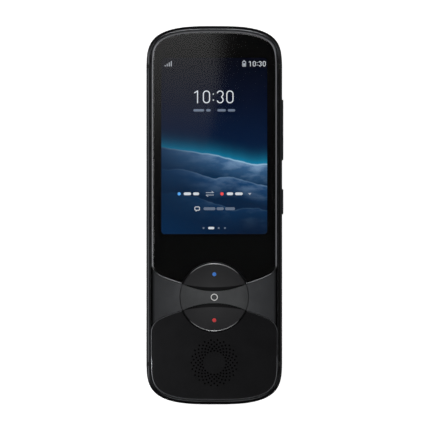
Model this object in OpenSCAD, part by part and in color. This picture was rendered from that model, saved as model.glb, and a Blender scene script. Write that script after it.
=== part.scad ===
// Handheld translator: a slim bar with a tall screen, a round three-key cluster and a speaker below it.
// It lies on its back: origin in the middle of the flat back, +Z out of the screen, +Y to the top end.

/* [Body] */
// Width across the side frame
body_w = 52; // [51:0.5:56]
// Length over the two rounded ends
body_l = 145; // [144:0.5:152]
// Thickness from the flat back to the front rim
body_t = 12.8; // [12.6:0.1:14]
// Length of each rounded end
end_l = 19; // [17:0.5:21]
// Exponent that squares the ends across the width
end_nx = 3; // [2.7:0.1:3.4]
// Exponent that squares the ends along the length
end_ny = 4.1; // [3.6:0.1:4.6]

/* [Rear cover] */
// Height of the rear cover up to its seam with the frame
shell_h = 4.6; // [4:0.1:4.7]
// Wall of the rear cover
shell_wall = 1.3; // [1:0.1:1.4]
// Width of the curved edge between the flat back and the side
shell_edge = 7; // [5:0.5:9]
// Gap of the seam between the rear cover and the frame
seam = 0.1; // [0.05:0.05:0.2]
// Height of the clip rib that reaches into the frame
rib_h = 0.6; // [0.4:0.1:0.7]
// Thickness of the clip rib
rib_t = 0.7; // [0.5:0.1:0.9]
// Length of the clip rib on each long side
rib_l = 96; // [70:1:100]

/* [Frame] */
// Wall of the metal side frame
frame_wall = 1.5; // [1.3:0.1:1.6]
// Radius of the frame's outer front edge
edge_r = 0.8; // [0.4:0.1:1]
// Small inner bevel of the frame's rim
rim_bevel = 0.2; // [0.1:0.05:0.3]
// How far past the start of the rounded ends the plastic breaks lie
break_in = 3.5; // [3:0.1:4.5]
// Width of a plastic break
break_w = 1.7; // [1.2:0.1:2.2]

/* [Front] */
// Groove between the frame's rim and the front pieces
front_gap = 0.25; // [0.15:0.05:0.6]
// Depth of the front pieces below the rim
front_drop = 0.1; // [0:0.05:0.2]
// Thickness of the front glass
glass_t = 0.8; // [0.6:0.1:1]
// Width of the glass's rounded edge
glass_edge = 1.2; // [0.5:0.1:1.4]
// Bevel along the waist and round the key cluster, on the glass and the speaker cover
waist_bevel = 0.25; // [0.1:0.05:0.35]
// Thickness of the glass gasket
gasket_t = 0.15; // [0.1:0.05:0.25]
// Width of the rounded edge of the waist trim and the speaker cover
cover_edge = 0.35; // [0.3:0.05:0.8]
// Depth of the waist trim below the glass
trim_drop = 0.15; // [0.05:0.05:0.25]
// Gap between the waist trim and its neighbours
trim_gap = 0.12; // [0.05:0.01:0.2]
// Half height of the waist where its two edges would meet the middle
waist_half = 3.6; // [3:0.1:4.2]
// Radius of the waist's long curved edges
waist_r = 48.5; // [44:0.5:56]
// Radius of the corners where the waist's edges run into the sides
waist_corner_r = 6; // [4:0.5:8]

/* [Screen] */
// Distance from each side of the body to the display's lit area
screen_side = 5.75; // [5.5:0.05:7]
// Distance from the key cluster up to the lit area
screen_low = 11.2; // [10.8:0.1:14]
// Distance from the top end to the lit area
screen_top = 12.2; // [11.8:0.1:12.6]
// Border of the display beside and above the lit area
screen_border = 1.5; // [1.2:0.1:1.8]
// Border of the display below the lit area, where its driver sits
driver_border = 5; // [4:0.1:5.2]
// Thickness of the display panel
lcd_t = 1.1; // [0.8:0.1:1.3]
// Thickness of the backlight
backlight_t = 1.2; // [0.9:0.1:1.4]
// Thickness of the display ribbon
ribbon_t = 0.15; // [0.1:0.05:0.15]
// Width of the display ribbon
ribbon_w = 16; // [10:1:20]

/* [Keys] */
// Distance from the bottom end up to the key cluster
key_from_end = 28.1; // [28:0.1:30]
// Diameter of the key cluster
key_d = 26; // [25:0.1:26.6]
// Groove round the key cluster
key_groove = 0.3; // [0.2:0.05:0.4]
// Gap between two keys
key_gap = 0.14; // [0.1:0.02:0.2]
// Height of the middle key at its ends
bar_end_h = 10; // [9:0.1:11]
// Height of the middle key at its middle
bar_mid_h = 4.7; // [4.4:0.1:5.5]
// Width of the sloped crescent of an outer key, at its middle
scoop_w = 1.45; // [1:0.05:2]
// How far the outer keys stand above the front
key_proud = 0.3; // [0.1:0.05:0.5]
// Chamfer round the rims of the blue and red keys
key_chamfer = 0.25; // [0.1:0.05:0.4]
// Travel of a key
key_travel = 0.3; // [0.2:0.05:0.35]
// Width of the flange that keeps a key in its well
key_flange_w = 0.6; // [0.4:0.1:0.8]
// Thickness of the key flange
key_flange_t = 0.5; // [0.4:0.1:0.6]
// Distance of the coloured dots from the middle of the cluster
dot_from_mid = 8.8; // [8:0.1:9.5]
// Diameter of a coloured dot
dot_d = 1.5; // [1:0.1:2]
// Outer diameter of the ring legend
legend_d = 3; // [2.4:0.1:3.6]
// Line width of the ring legend
legend_line = 0.46; // [0.3:0.02:0.6]
// Depth of the ring legend in its key
legend_depth = 0.5; // [0.3:0.1:0.8]

/* [Speaker] */
// Distance from the bottom end to the middle of the hole pattern
grille_from_end = 16; // [15.6:0.1:16.4]
// Radius of the innermost ring of holes
grille_r = 4.6; // [4:0.1:5]
// Step from one ring of holes to the next
grille_step = 0.83; // [0.8:0.01:0.86]
// Number of rings
grille_rings = 6; // [3:1:6]
// Number of holes in a ring
grille_holes = 22; // [16:1:24]
// Diameter of a hole
grille_hole_d = 0.68; // [0.5:0.02:0.72]
// Distance from each side of the body to the speaker module
speaker_side = 10; // [9:0.5:13]
// Length of the speaker module
speaker_l = 17.6; // [16:0.1:18]
// Height of the speaker module
speaker_t = 5.2; // [4.5:0.1:5.4]
// Thickness of the woven mesh behind the holes
mesh_t = 0.15; // [0.1:0.05:0.2]
// Thickness of the speaker's foam gasket
foam_t = 0.5; // [0.3:0.1:0.6]

/* [Side buttons] */
// Distance from the top end to the middle of the volume rocker
volume_from_top = 39.8; // [38:0.1:42]
// Length of the volume rocker
volume_l = 23.2; // [20:0.1:25]
// Distance from the top end to the middle of the power button
power_from_top = 67.35; // [65:0.1:70]
// Length of the power button
power_l = 9.7; // [8:0.1:11]
// Height of the side buttons
button_h = 2.6; // [2:0.1:3]
// How far the side buttons stand out
button_out = 0.5; // [0.3:0.05:0.8]
// Bevel round the outer faces of the side buttons
button_bevel = 0.2; // [0.1:0.05:0.3]
// Gap round a side button in its slot
button_gap = 0.1; // [0.08:0.02:0.14]
// Gap between a button's plunger and its switch
plunger_gap = 0.35; // [0.35:0.05:0.4]
// Half distance between the volume rocker's two switches
rocker_arm = 8; // [6:0.5:9]

/* [Ports] */
// Width of the USB-C shell
usb_w = 8.94; // [8.9:0.01:9]
// Height of the USB-C shell
usb_h = 3.26; // [3.2:0.01:3.3]
// Wall of the USB-C shell
usb_wall = 0.32; // [0.28:0.02:0.36]
// Length of the USB-C shell
usb_l = 6.5; // [6:0.1:6.6]
// Sideways place of the audio jack
jack_x = -9; // [-10:0.5:-9]
// Diameter of the audio jack's bore
jack_d = 3.6; // [3.54:0.02:3.66]
// Depth of the audio jack's bore
jack_depth = 14; // [13:0.5:14.5]
// Diameter of a microphone hole
mic_hole_d = 1; // [0.8:0.1:1.2]
// Sideways distance of the microphones from the middle
mic_x = 9; // [8:0.5:12]

/* [SIM tray] */
// Distance from the top end to the middle of the SIM tray
sim_from_top = 25; // [24.5:0.1:26]
// Length of the SIM tray's door
sim_door_l = 13.5; // [13:0.1:14]
// Height of the SIM tray's door
sim_door_h = 2; // [1.8:0.1:2.2]
// Length of the card that the tray holds
card_l = 12.3; // [12:0.1:12.6]
// Width of the card that the tray holds
card_w = 8.8; // [8.6:0.1:9]
// Thickness of the tray
tray_t = 0.9; // [0.8:0.05:1]

/* [Camera] */
// Distance from the top end to the camera
camera_from_top = 17; // [16:0.5:18]
// Distance from the camera to the flash
flash_from_camera = 10; // [9.5:0.5:11]
// Outer diameter of the camera ring
camera_ring_d = 10.8; // [10:0.2:12]
// Width of the camera ring
camera_ring_w = 1.1; // [0.8:0.1:1.4]
// Diameter of the camera's lens barrel
barrel_d = 6.4; // [5.6:0.2:7]
// Diameter of the flash lens
flash_d = 3.8; // [3:0.2:4.4]

/* [Inside] */
// Thickness of the chassis floor under the display
floor_t = 0.8; // [0.7:0.1:1]
// Thickness of the circuit boards
pcb_t = 0.8; // [0.6:0.1:1]
// Distance from the top end to the main board's lower edge
main_edge = 35; // [34.5:0.1:35.5]
// Distance from the bottom end to the lower board's upper edge
lower_edge = 48.2; // [46:0.1:48.5]
// Height of the bosses between the chassis and the main board
main_boss_h = 0.25; // [0.2:0.05:0.4]
// Height of the bosses between the chassis and the lower board
lower_boss_h = 3.45; // [3.4:0.05:3.55]
// Distance from each side of the body to the battery
battery_side = 6.5; // [6:0.5:9]
// Room between the battery and the boards above and below it
battery_room = [1.5, 3.3];
// Thickness of the battery
battery_t = 6.2; // [5:0.1:6.4]
// Diameter of the screws' shanks
screw_d = 1.4; // [1.2:0.1:1.6]
// Diameter of the screws' heads
screw_head_d = 2.5; // [2.2:0.1:2.8]

/* [Hidden] */

eps = 0.01;          // overlap that makes cuts run clean through
fit = 0.05;          // gap between pieces that are fitted together
inlay_fit = 0.02;    // gap round inlaid and screwed pieces
steps = 20;          // points along each quarter of the outline
far = body_l;        // a length that reaches past the body
top_y = body_l / 2;
side_x = body_w / 2;
end_y = top_y - end_l;            // where the straight sides end
break_y = end_y + break_in;       // middle of the plastic breaks

// Levels, from the front down
rim_z = body_t;
front_z = rim_z - front_drop;
glass_z = front_z - glass_t;
ledge_z = glass_z - gasket_t;
lcd_z = ledge_z - lcd_t;
floor_z = lcd_z - backlight_t;
chassis_z = floor_z - floor_t;
trim_z = front_z - trim_drop;
main_top = chassis_z - main_boss_h;
main_z = main_top - pcb_t;
lower_top = chassis_z - lower_boss_h;
lower_z = lower_top - pcb_t;
frame_z = shell_h + seam;
button_z = (frame_z + rim_z - edge_r) / 2;

// Places and sizes on the front
front_inset = frame_wall + front_gap;
front_x = side_x - front_inset;
key_r = key_d / 2;
key_y = key_from_end + key_r - top_y;
screen_w = body_w - 2 * screen_side;
screen_l = body_l - screen_top - screen_low - key_from_end - key_d;
screen_y = top_y - screen_top - screen_l / 2;
lcd_w = screen_w + 2 * screen_border;
lcd_l = screen_l + screen_border + driver_border;
lcd_y = screen_y + (screen_border - driver_border) / 2;
lcd_low = lcd_y - lcd_l / 2;
well_r = key_r + key_groove;
pocket_r = key_r + key_flange_w + 0.3;
well_ring_t = 0.6;
well_ring_r = pocket_r + 1.4;
well_ring_z = ledge_z - well_ring_t;
flange_z = well_ring_z - fit - key_flange_t;
key_top = front_z + key_proud;
speaker_up = 0.4;      // how far the speaker sits above the middle of its holes
grille_y = grille_from_end - top_y;
grille_out = grille_r + (grille_rings - 1) * grille_step + grille_hole_d / 2;
mesh_r = grille_out + 0.4;
mesh_z = ledge_z - mesh_t;
foam_z = mesh_z - foam_t;
speaker_z = foam_z - speaker_t;
speaker_y = grille_y + speaker_up;
speaker_w = body_w - 2 * speaker_side;

// Key board and domes
key_board_t = 0.4;
dome_t = 0.25;
dome_r = 2.1;
nub_r = 1.2;
dome_z = floor_z + key_board_t;
nub_z = dome_z + dome_t + key_travel + fit;
dot_places = [dot_from_mid, 0, -dot_from_mid];

// Chassis
chassis_inset = frame_wall + fit;
pocket_fit = 0.15;
ribbon_drop = 0.45;    // how far below the display the ribbon turns down
ribbon_end = 5;        // how far the ribbon runs over the main board

// Side buttons
volume_y = top_y - volume_from_top;
power_y = top_y - power_from_top;
inner_x = side_x - frame_wall;
flange_t = 0.5;
flange_gap = 0.1;
flange_rise = 0.5;
plunger_r = 0.6;
plunger_x = inner_x - flange_gap - flange_t - 0.3;
switch_t = 0.3;
switch_x = plunger_x - plunger_gap;
strip_t = 0.2;
strip_x = switch_x - switch_t - strip_t;
strip_h = 3.2;
strip_over = 3;
bay_x = strip_x - fit;
bay_top = button_z + button_h / 2 + flange_rise + 0.1;
rocker_hook = 5;       // length of the hook that holds the rocker at its middle
switch_size = [2.6, 1.8];
switch_places = [volume_y + rocker_arm, volume_y - rocker_arm, power_y];

// Ports
usb_y = 0.2 - top_y;                    // the shell's mouth
usb_z = lower_top + usb_h / 2 + fit;
usb_fit = 0.08;
tongue = [6.69, 4.45, 0.7];
usb_back = 1;
jack_z = main_z - 0.5;
jack_body = [6.2, 0, 4.6];
jack_nose_r = jack_d / 2 + 0.55;
jack_mouth = end_height(-jack_x + jack_nose_r) - 0.02;
jack_back = jack_mouth - jack_depth - 1;
jack_front = end_height(-jack_x + jack_body[0] / 2) - frame_wall - 0.1;
mic_size = [3, 2.6, 2.2];
mic_face = end_height(mic_x + mic_size[0] / 2) - frame_wall - 0.25;

// SIM tray and its reader
sim_y = top_y - sim_from_top;
sim_z = main_z - 0.75;
tray_wall = 0.7;
tray_w = card_w + 2 * tray_wall;
tray_l = card_l + 2 * tray_wall + 1;
tray_x = -side_x + 1.3;                 // where the door's back meets the tray
card_fit = 0.1;
card_depth = 0.67;
card_ledge = 1;
pin_hole_d = 0.9;
reader_gap = 0.2;
reader_wall = 0.3;
reader_x = -inner_x + 1;

// Camera and flash, on the back
camera_y = top_y - camera_from_top;
flash_y = camera_y - flash_from_camera;
recess = 0.05;                          // how far the ring and lenses sit inside the flat back
camera_ring_t = shell_wall;
window_r = camera_ring_d / 2 - camera_ring_w - inlay_fit;
window_t = 0.8;
camera_body = 8.5;
bracket_z = shell_wall + 1.3;
bracket_t = 0.7;
bracket_wall = 0.6;
bracket_in = camera_body / 2 + 0.15;
bracket_over = 2;
barrel_z = recess + window_t + 0.5;
flash_pcb = [6, 5, 0.5];
led = [1.6, 2, 0.7];

// Inside
main_low = top_y - main_edge;
lower_high = lower_edge - top_y;
board_inset = frame_wall + 1.1;
battery_top = main_low - battery_room[0];
battery_w = body_w - 2 * battery_side;
battery_l = battery_top - lower_high - battery_room[1];
battery_z = chassis_z - ribbon_t - battery_t;
screw_head_t = 0.5;
boss_r = 1.7;
thread_depth = 0.55;
screw_in = [5.5, 9, 6.4, 6];           // how far in from the side each pair of screws lies
screw_up = [2, 6.5, 2.4, 11.5];        // how far each pair lies from its board's edge or the body's end
main_screws = [for (s = [-1, 1]) each [[s * (side_x - screw_in[0]), main_low + screw_up[0]],
                                       [s * (side_x - screw_in[1]), top_y - screw_up[1]]]];
lower_screws = [for (s = [-1, 1]) each [[s * (side_x - screw_in[2]), lower_high - screw_up[2]],
                                        [s * (side_x - screw_in[3]), screw_up[3] - top_y]]];
motor_at = [side_x - 9, top_y - 12];
motor_r = 4;
motor_t = 2.7;
processor_from_side = 7;
processor_l = 14.4;
processor_t = 2.2;
processor_up = 3.6;
charger = [28, 14, 1.2];
charger_down = 4;
tape_gap = 1;
tape_in = 2.5;
protection_in = 5.5;
protection = [1.15, 2.9];              // thickness and height of the battery's protection board
protection_drop = 0.3;
lead_w = 6;
lead_l = 3.3;
lead_t = 0.18;
lead_drop = 2.2;

// ---- outline of the body: straight sides and squared round ends ----

// Height of the outline above the middle at a sideways distance x
function end_height(x) = end_y + end_l * pow(1 - pow(x / side_x, end_nx), 1 / end_ny);

// Point of the outline's first quarter at angle t, moved in by d
function end_point(t) = [side_x * pow(cos(t), 2 / end_nx), end_y + end_l * pow(sin(t), 2 / end_ny)];
function end_slope(t) = [end_nx / side_x * pow(cos(t), 2 - 2 / end_nx),
                         end_ny / end_l * pow(sin(t), 2 - 2 / end_ny)];
function unit(v) = v / norm(v);
function inset_point(t, d) = end_point(t) - d * unit(end_slope(t));
function quarter(d, from = 0) = [for (i = [0:steps]) inset_point(from + (90 - from) * i / steps, d)];
function flip_x(points) = [for (i = [len(points) - 1:-1:0]) [-points[i][0], points[i][1]]];
function flip_y(points) = [for (i = [len(points) - 1:-1:0]) [points[i][0], -points[i][1]]];
function without_first(points) = [for (i = [1:len(points) - 1]) points[i]];
function upper_half(d) = concat(quarter(d), without_first(flip_x(quarter(d))));
function outline(d) = concat(upper_half(d), [for (p = upper_half(d)) -p]);
function ring_at(d, z) = [for (p = outline(d)) [p[0], p[1], z]];
function arc(c, r, from, to, n) = [for (i = [0:n]) c + r * [cos(from + (to - from) * i / n),
                                                           sin(from + (to - from) * i / n)]];

// Closed skin through a stack of rings that have equally many points, from the first ring to the last
module loft(rings) {
    n = len(rings[0]);
    last = (len(rings) - 1) * n;
    sides = [for (k = [0:len(rings) - 2], i = [0:n - 1])
        let (a = k * n + i, b = k * n + (i + 1) % n)
        each [[a, a + n, b + n], [a, b + n, b]]];
    polyhedron([for (r = rings) each r],
               concat([[for (i = [0:n - 1]) i]], sides, [[for (i = [n - 1:-1:0]) last + i]]));
}

// A slab that follows the outline and has a rounded upper edge
module rounded_slab(z0, z1, inset, edge, edge_h) {
    turns = 4;
    loft(concat([ring_at(inset, z0)],
                [for (i = [0:turns]) let (a = 90 * i / turns)
                 ring_at(inset + edge * (1 - cos(a)), z1 - edge_h * (1 - sin(a)))]));
}

module outline_slab(z0, z1, inset) {
    translate([0, 0, z0]) linear_extrude(z1 - z0) polygon(outline(inset));
}

module stadium(l, h) {
    square([l - h, h], center = true);
    for (s = [-1, 1]) translate([s * (l - h) / 2, 0]) circle(d = h, $fn = 32);
}

// Stadium bar along X, its length along Y
module side_stadium(x0, x1, y, z, l, h) {
    translate([x0, y, z]) rotate([90, 0, 90]) linear_extrude(x1 - x0) stadium(l, h);
}

module box(x0, x1, y0, y1, z0, z1) {
    translate([x0, y0, z0]) cube([x1 - x0, y1 - y0, z1 - z0]);
}

module disc(x, y, z0, z1, r) {
    translate([x, y, z0]) cylinder(h = z1 - z0, r = r, $fn = 64);
}

// ---- the waist: where the glass, the trim and the speaker cover meet ----

// Edge of the glass seen from the key cluster's middle, moved down by g
function waist_points(g) =
    let (big = [0, waist_half + waist_r],
         small_x = front_x - waist_corner_r,
         small_y = big[1] - sqrt(pow(waist_r - waist_corner_r, 2) - pow(small_x, 2)),
         turn = 180 + acos(small_x / (waist_r - waist_corner_r)))
    concat([[-front_x - g, far]],
           arc([-small_x, small_y], waist_corner_r + g, 180, turn, 10),
           without_first(arc(big, waist_r + g, turn, 540 - turn, 24)),
           without_first(arc([small_x, small_y], waist_corner_r + g, 540 - turn, 360, 10)),
           [[front_x + g, far]]);

module upper_field(g) { translate([0, key_y]) polygon(waist_points(g)); }

// The upper field as a solid up to the front, bevelled along the waist
module bevelled_field() {
    translate([0, key_y, 0])
        loft([for (level = [[far / -4, 0], [front_z - waist_bevel, 0], [front_z + waist_bevel, -2]])
            [for (p = waist_points(level[1] * waist_bevel)) [p[0], p[1], level[0]]]]);
}

// The round opening for the keys, with the bevel round its rim
module key_opening() {
    translate([0, key_y, floor_z]) cylinder(h = far, r = well_r, $fn = 96);
    translate([0, key_y, front_z - waist_bevel])
        cylinder(h = 2 * waist_bevel, r1 = well_r, r2 = well_r + 2 * waist_bevel, $fn = 96);
}
module lower_field(g) { translate([0, key_y]) mirror([0, 1]) polygon(waist_points(g)); }
module key_circle(r) { translate([0, key_y]) circle(r = r, $fn = 96); }

module front_glass() {
    color("#08080a") intersection() {
        rounded_slab(glass_z, front_z, front_inset, glass_edge, glass_t * 0.6);
        difference() {
            bevelled_field();
            key_opening();
        }
    }
}

module glass_gasket() {
    color("#101010") translate([0, 0, ledge_z]) linear_extrude(gasket_t) difference() {
        intersection() {
            polygon(outline(front_inset + 0.3));
            upper_field(-0.4);
        }
        lcd_opening();
        key_circle(well_ring_r + 0.2);
    }
}

module lcd_opening() {
    translate([0, lcd_y]) square([lcd_w + 2 * pocket_fit, lcd_l + 2 * pocket_fit], center = true);
    translate([0, lcd_low - ribbon_drop / 2]) square([ribbon_w + 1, ribbon_drop + 0.6], center = true);
}

module lcd_panel() {
    color("#0b2a4a") box(-lcd_w / 2, lcd_w / 2, lcd_low, lcd_low + lcd_l, lcd_z, ledge_z);
}

module backlight() {
    color("#d8dadc") box(-lcd_w / 2, lcd_w / 2, lcd_low, lcd_low + lcd_l, floor_z, lcd_z);
}

// The ribbon leaves the display's lower edge, turns down and runs under the chassis to the main board
module display_ribbon() {
    tab_z = lcd_z + lcd_t / 2;
    down_y = lcd_low - ribbon_drop;
    run_z = chassis_z - ribbon_t;
    profile = [[down_y, run_z], [main_low + ribbon_end, run_z], [main_low + ribbon_end, chassis_z],
               [down_y + ribbon_t, chassis_z], [down_y + ribbon_t, tab_z - ribbon_t],
               [lcd_low, tab_z - ribbon_t], [lcd_low, tab_z], [down_y, tab_z]];
    color("#b5651d") translate([-ribbon_w / 2, 0, 0]) rotate([90, 0, 90]) linear_extrude(ribbon_w)
        polygon(profile);
}

// ---- waist trim: two wings on the front and the ring under the glass that holds the keys ----

module trim_wings() {
    difference() {
        square([body_w, body_l], center = true);
        upper_field(trim_gap);
        lower_field(trim_gap);
        key_circle(well_r);
    }
}

module waist_trim() {
    color("#3c3c3d") union() {
        intersection() {
            rounded_slab(ledge_z, trim_z, front_inset, cover_edge, cover_edge);
            translate([0, 0, ledge_z - 1]) linear_extrude(trim_z - ledge_z + 2) trim_wings();
        }
        translate([0, 0, well_ring_z]) linear_extrude(well_ring_t) difference() {
            key_circle(well_ring_r);
            key_circle(well_r);
            translate([0, grille_y]) circle(r = mesh_r + pocket_fit, $fn = 96);
        }
    }
}

// ---- speaker ----

module grille_pattern() {
    for (k = [0:grille_rings - 1], i = [0:grille_holes - 1])
        rotate(90 + 360 / grille_holes * (i + (k % 2) / 2)) translate([grille_r + k * grille_step, 0])
            circle(d = grille_hole_d, $fn = 16);
}

module speaker_cover() {
    color("#1b1b1d") intersection() {
        rounded_slab(ledge_z, front_z, front_inset, cover_edge, cover_edge);
        difference() {
            translate([0, 2 * key_y, 0]) mirror([0, 1, 0]) bevelled_field();
            key_opening();
            translate([0, grille_y, ledge_z - 1]) linear_extrude(front_z - ledge_z + 2) grille_pattern();
        }
    }
}

module speaker_mesh() {
    color("#050505") disc(0, grille_y, mesh_z, ledge_z, mesh_r);
}

module speaker_gasket() {
    color("#202020") difference() {
        disc(0, grille_y, foam_z, mesh_z, mesh_r);
        disc(0, grille_y, foam_z - 1, mesh_z + 1, mesh_r - 1.2);
    }
}

// Box of the speaker, with the cone's recess open to the foam ring
module speaker_module() {
    color("#2a2a2a") difference() {
        box(-speaker_w / 2, speaker_w / 2, speaker_y - speaker_l / 2, speaker_y + speaker_l / 2,
            speaker_z, foam_z);
        disc(0, speaker_y, foam_z - 0.6, foam_z + 1, speaker_l / 2 - 2);
    }
}

// ---- keys ----

// Height of a bowed edge above the cluster's middle: mid at the middle, tip on the key circle
function bow(mid) =
    let (tip = bar_end_h / 2,
         half = sqrt(pow(key_r, 2) - pow(tip, 2)),
         r = (pow(half, 2) + pow(tip - mid, 2)) / (2 * (tip - mid)),
         reach = asin(half / r))
    arc([0, mid + r], r, 270 - reach, 270 + reach, 24);

// Outline between an upper bow and its mirror image, run on past the key circle
function between_bows(mid, widen = 0) =
    let (upper = [for (p = bow(mid)) p + [0, widen]],
         ends = [upper[0] + [-4, 1.4], upper[len(upper) - 1] + [4, 1.4]],
         top = concat([ends[0]], upper, [ends[1]]))
    concat([for (p = top) [p[0], -p[1]]], [for (i = [len(top) - 1:-1:0]) top[i]]);

// The valley between the outer keys: its floor lies level with the middle key, its walls lean outwards
module valley() {
    reach = 1.5;
    low = between_bows(bar_mid_h / 2);
    high = between_bows(bar_mid_h / 2 + scoop_w);
    rise = key_top - trim_z;
    loft([[for (p = low) [p[0], p[1], trim_z]],
          [for (i = [0:len(low) - 1])
           let (p = low[i] + (high[i] - low[i]) * reach) [p[0], p[1], trim_z + rise * reach]]]);
}

module outer_key_plan(r) {
    difference() {
        circle(r = r, $fn = 96);
        polygon(between_bows(bar_mid_h / 2, key_gap / 2));
        translate([-far / 2, -far]) square(far);
    }
}

module home_key_plan(r) {
    intersection() {
        circle(r = r, $fn = 96);
        polygon(between_bows(bar_mid_h / 2, -key_gap / 2));
    }
}

// An outer key: cap, flange and the plunger over its dome, with the bore of its light guide
module outer_key() {
    difference() {
        union() {
            translate([0, 0, flange_z]) linear_extrude(key_top - flange_z) outer_key_plan(key_r);
            translate([0, 0, flange_z]) linear_extrude(key_flange_t) outer_key_plan(key_r + key_flange_w);
            translate([0, dot_from_mid, nub_z]) cylinder(h = flange_z - nub_z + eps, r = nub_r, $fn = 32);
        }
        valley();
        rotate_extrude($fn = 96) polygon([[key_r - key_chamfer - fit, key_top + fit],
                                          [key_r + fit, key_top - key_chamfer - fit],
                                          [key_r + fit, key_top + fit]]);
        translate([0, dot_from_mid, flange_z + 0.5]) cylinder(h = far, d = dot_d + 2 * inlay_fit, $fn = 32);
    }
}

module light_guide() {
    translate([0, dot_from_mid, flange_z + 0.5]) cylinder(h = key_top - flange_z - 0.5, d = dot_d, $fn = 32);
}

module blue_key() { color("#262628") translate([0, key_y, 0]) outer_key(); }
module red_key() { color("#262628") translate([0, key_y, 0]) rotate([0, 0, 180]) outer_key(); }
module blue_light_guide() { color("#3c7fcb") translate([0, key_y, 0]) light_guide(); }
module red_light_guide() { color("#b5201f") translate([0, key_y, 0]) rotate([0, 0, 180]) light_guide(); }

module legend_ring(play) {
    difference() {
        circle(r = legend_d / 2 + play, $fn = 48);
        circle(r = legend_d / 2 - legend_line - play, $fn = 48);
    }
}

module home_key() {
    color("#434344") translate([0, key_y, 0]) difference() {
        union() {
            translate([0, 0, flange_z]) linear_extrude(trim_z - flange_z) home_key_plan(key_r);
            translate([0, 0, flange_z]) linear_extrude(key_flange_t) home_key_plan(key_r + key_flange_w);
            translate([0, 0, nub_z]) cylinder(h = flange_z - nub_z + eps, r = nub_r, $fn = 32);
        }
        translate([0, 0, trim_z - legend_depth]) linear_extrude(1) legend_ring(inlay_fit);
    }
}

module home_legend() {
    color("#d8d8d8") translate([0, key_y, trim_z - legend_depth]) linear_extrude(legend_depth) legend_ring(0);
}

module key_board() {
    color("#1e4d2b") disc(0, key_y, floor_z, floor_z + key_board_t, pocket_r - 0.2);
}

module key_domes() {
    color("#c9cacc") for (v = dot_places)
        translate([0, key_y + v, dome_z]) cylinder(h = dome_t, r1 = dome_r, r2 = nub_r, $fn = 32);
}

// ---- chassis: the mid plate that carries the display, the keys, the speaker and the boards ----

module chassis() {
    color("#55585c") difference() {
        union() {
            outline_slab(chassis_z, ledge_z, chassis_inset);
            for (p = lower_screws) disc(p[0], p[1], lower_top, chassis_z + eps, boss_r);
            for (p = main_screws) disc(p[0], p[1], main_top, chassis_z + eps, boss_r);
        }
        translate([0, 0, floor_z]) linear_extrude(far) lcd_opening();
        translate([0, lcd_low - ribbon_drop / 2, 0])
            cube([ribbon_w + 1, ribbon_drop + 0.6, far], center = true);
        disc(0, key_y, floor_z, rim_z, pocket_r);
        disc(0, key_y, well_ring_z, rim_z, well_ring_r + fit);
        box(-speaker_w / 2 - pocket_fit, speaker_w / 2 + pocket_fit, speaker_y - speaker_l / 2 - pocket_fit,
            speaker_y + speaker_l / 2 + pocket_fit, chassis_z - 1, rim_z);
        disc(0, grille_y, foam_z, rim_z, mesh_r + pocket_fit);
        box(bay_x, far, power_y - power_l / 2 - strip_over, volume_y + volume_l / 2 + strip_over,
            chassis_z - 1, bay_top);
        jack_clearance(chassis_z - 1, floor_z);
        for (p = concat(main_screws, lower_screws))
            disc(p[0], p[1], 0, chassis_z + thread_depth, screw_d / 2 + inlay_fit);
    }
}

module jack_clearance(z0, z1) {
    box(jack_x - jack_body[0] / 2 - 0.3, jack_x + jack_body[0] / 2 + 0.3, jack_back - 0.3, far, z0, z1);
}

// ---- side frame ----

// Section of the frame: distance in from the side, and height
function frame_section() =
    concat([[0, frame_z]],
           [for (i = [0:3]) let (a = 30 * i) [edge_r * (1 - cos(a)), rim_z - edge_r * (1 - sin(a))]],
           [[frame_wall - rim_bevel, rim_z], [frame_wall, rim_z - rim_bevel], [frame_wall, frame_z]]);

// Angle at which the outline reaches a given height
function end_angle(y) = asin(pow((y - end_y) / end_l, end_ny / 2));

// One rounded end of the frame: its section carried round from break to break
module end_cap() {
    section = frame_section();
    from = end_angle(break_y + break_w / 2);
    angles = concat([for (i = [0:steps]) from + (90 - from) * i / steps]);
    right = [for (t = angles) [for (s = section) let (p = inset_point(t, s[0])) [p[0], p[1], s[1]]]];
    left = [for (k = [len(right) - 2:-1:0]) [for (p = right[k]) [-p[0], p[1], p[2]]]];
    loft(concat(right, left));
}

module rail() {
    rotate([90, 0, 0]) linear_extrude(2 * break_y - break_w, center = true)
        polygon([for (s = frame_section()) [side_x - s[0], s[1]]]);
}

module frame_top_cap() {
    color("#19191b") difference() {
        end_cap();
        translate([jack_x, top_y + 1, jack_z]) rotate([90, 0, 0])
            cylinder(h = 6, r = jack_nose_r + inlay_fit, $fn = 48);
        translate([mic_x, top_y + 1, jack_z]) rotate([90, 0, 0]) cylinder(h = 6, d = mic_hole_d, $fn = 24);
    }
}

module frame_bottom_cap() {
    color("#19191b") difference() {
        mirror([0, 1, 0]) end_cap();
        translate([0, 3 - top_y, usb_z]) rotate([90, 0, 0]) linear_extrude(6)
            stadium(usb_w + 2 * usb_fit, usb_h + 2 * usb_fit);
        for (s = [-1, 1]) translate([s * mic_x, 5 - top_y, usb_z]) rotate([90, 0, 0])
            cylinder(h = 6, d = mic_hole_d, $fn = 24);
    }
}

module frame_right_rail() {
    color("#19191b") difference() {
        rail();
        side_stadium(inner_x - 1, side_x + 1, volume_y, button_z, volume_l + 2 * button_gap,
                     button_h + 2 * button_gap);
        side_stadium(inner_x - 1, side_x + 1, power_y, button_z, power_l + 2 * button_gap,
                     button_h + 2 * button_gap);
    }
}

module frame_left_rail() {
    color("#19191b") difference() {
        mirror([1, 0, 0]) rail();
        side_stadium(-side_x - 1, -inner_x + 1, sim_y, sim_z, sim_door_l + 2 * button_gap,
                     sim_door_h + 2 * button_gap);
    }
}

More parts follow.
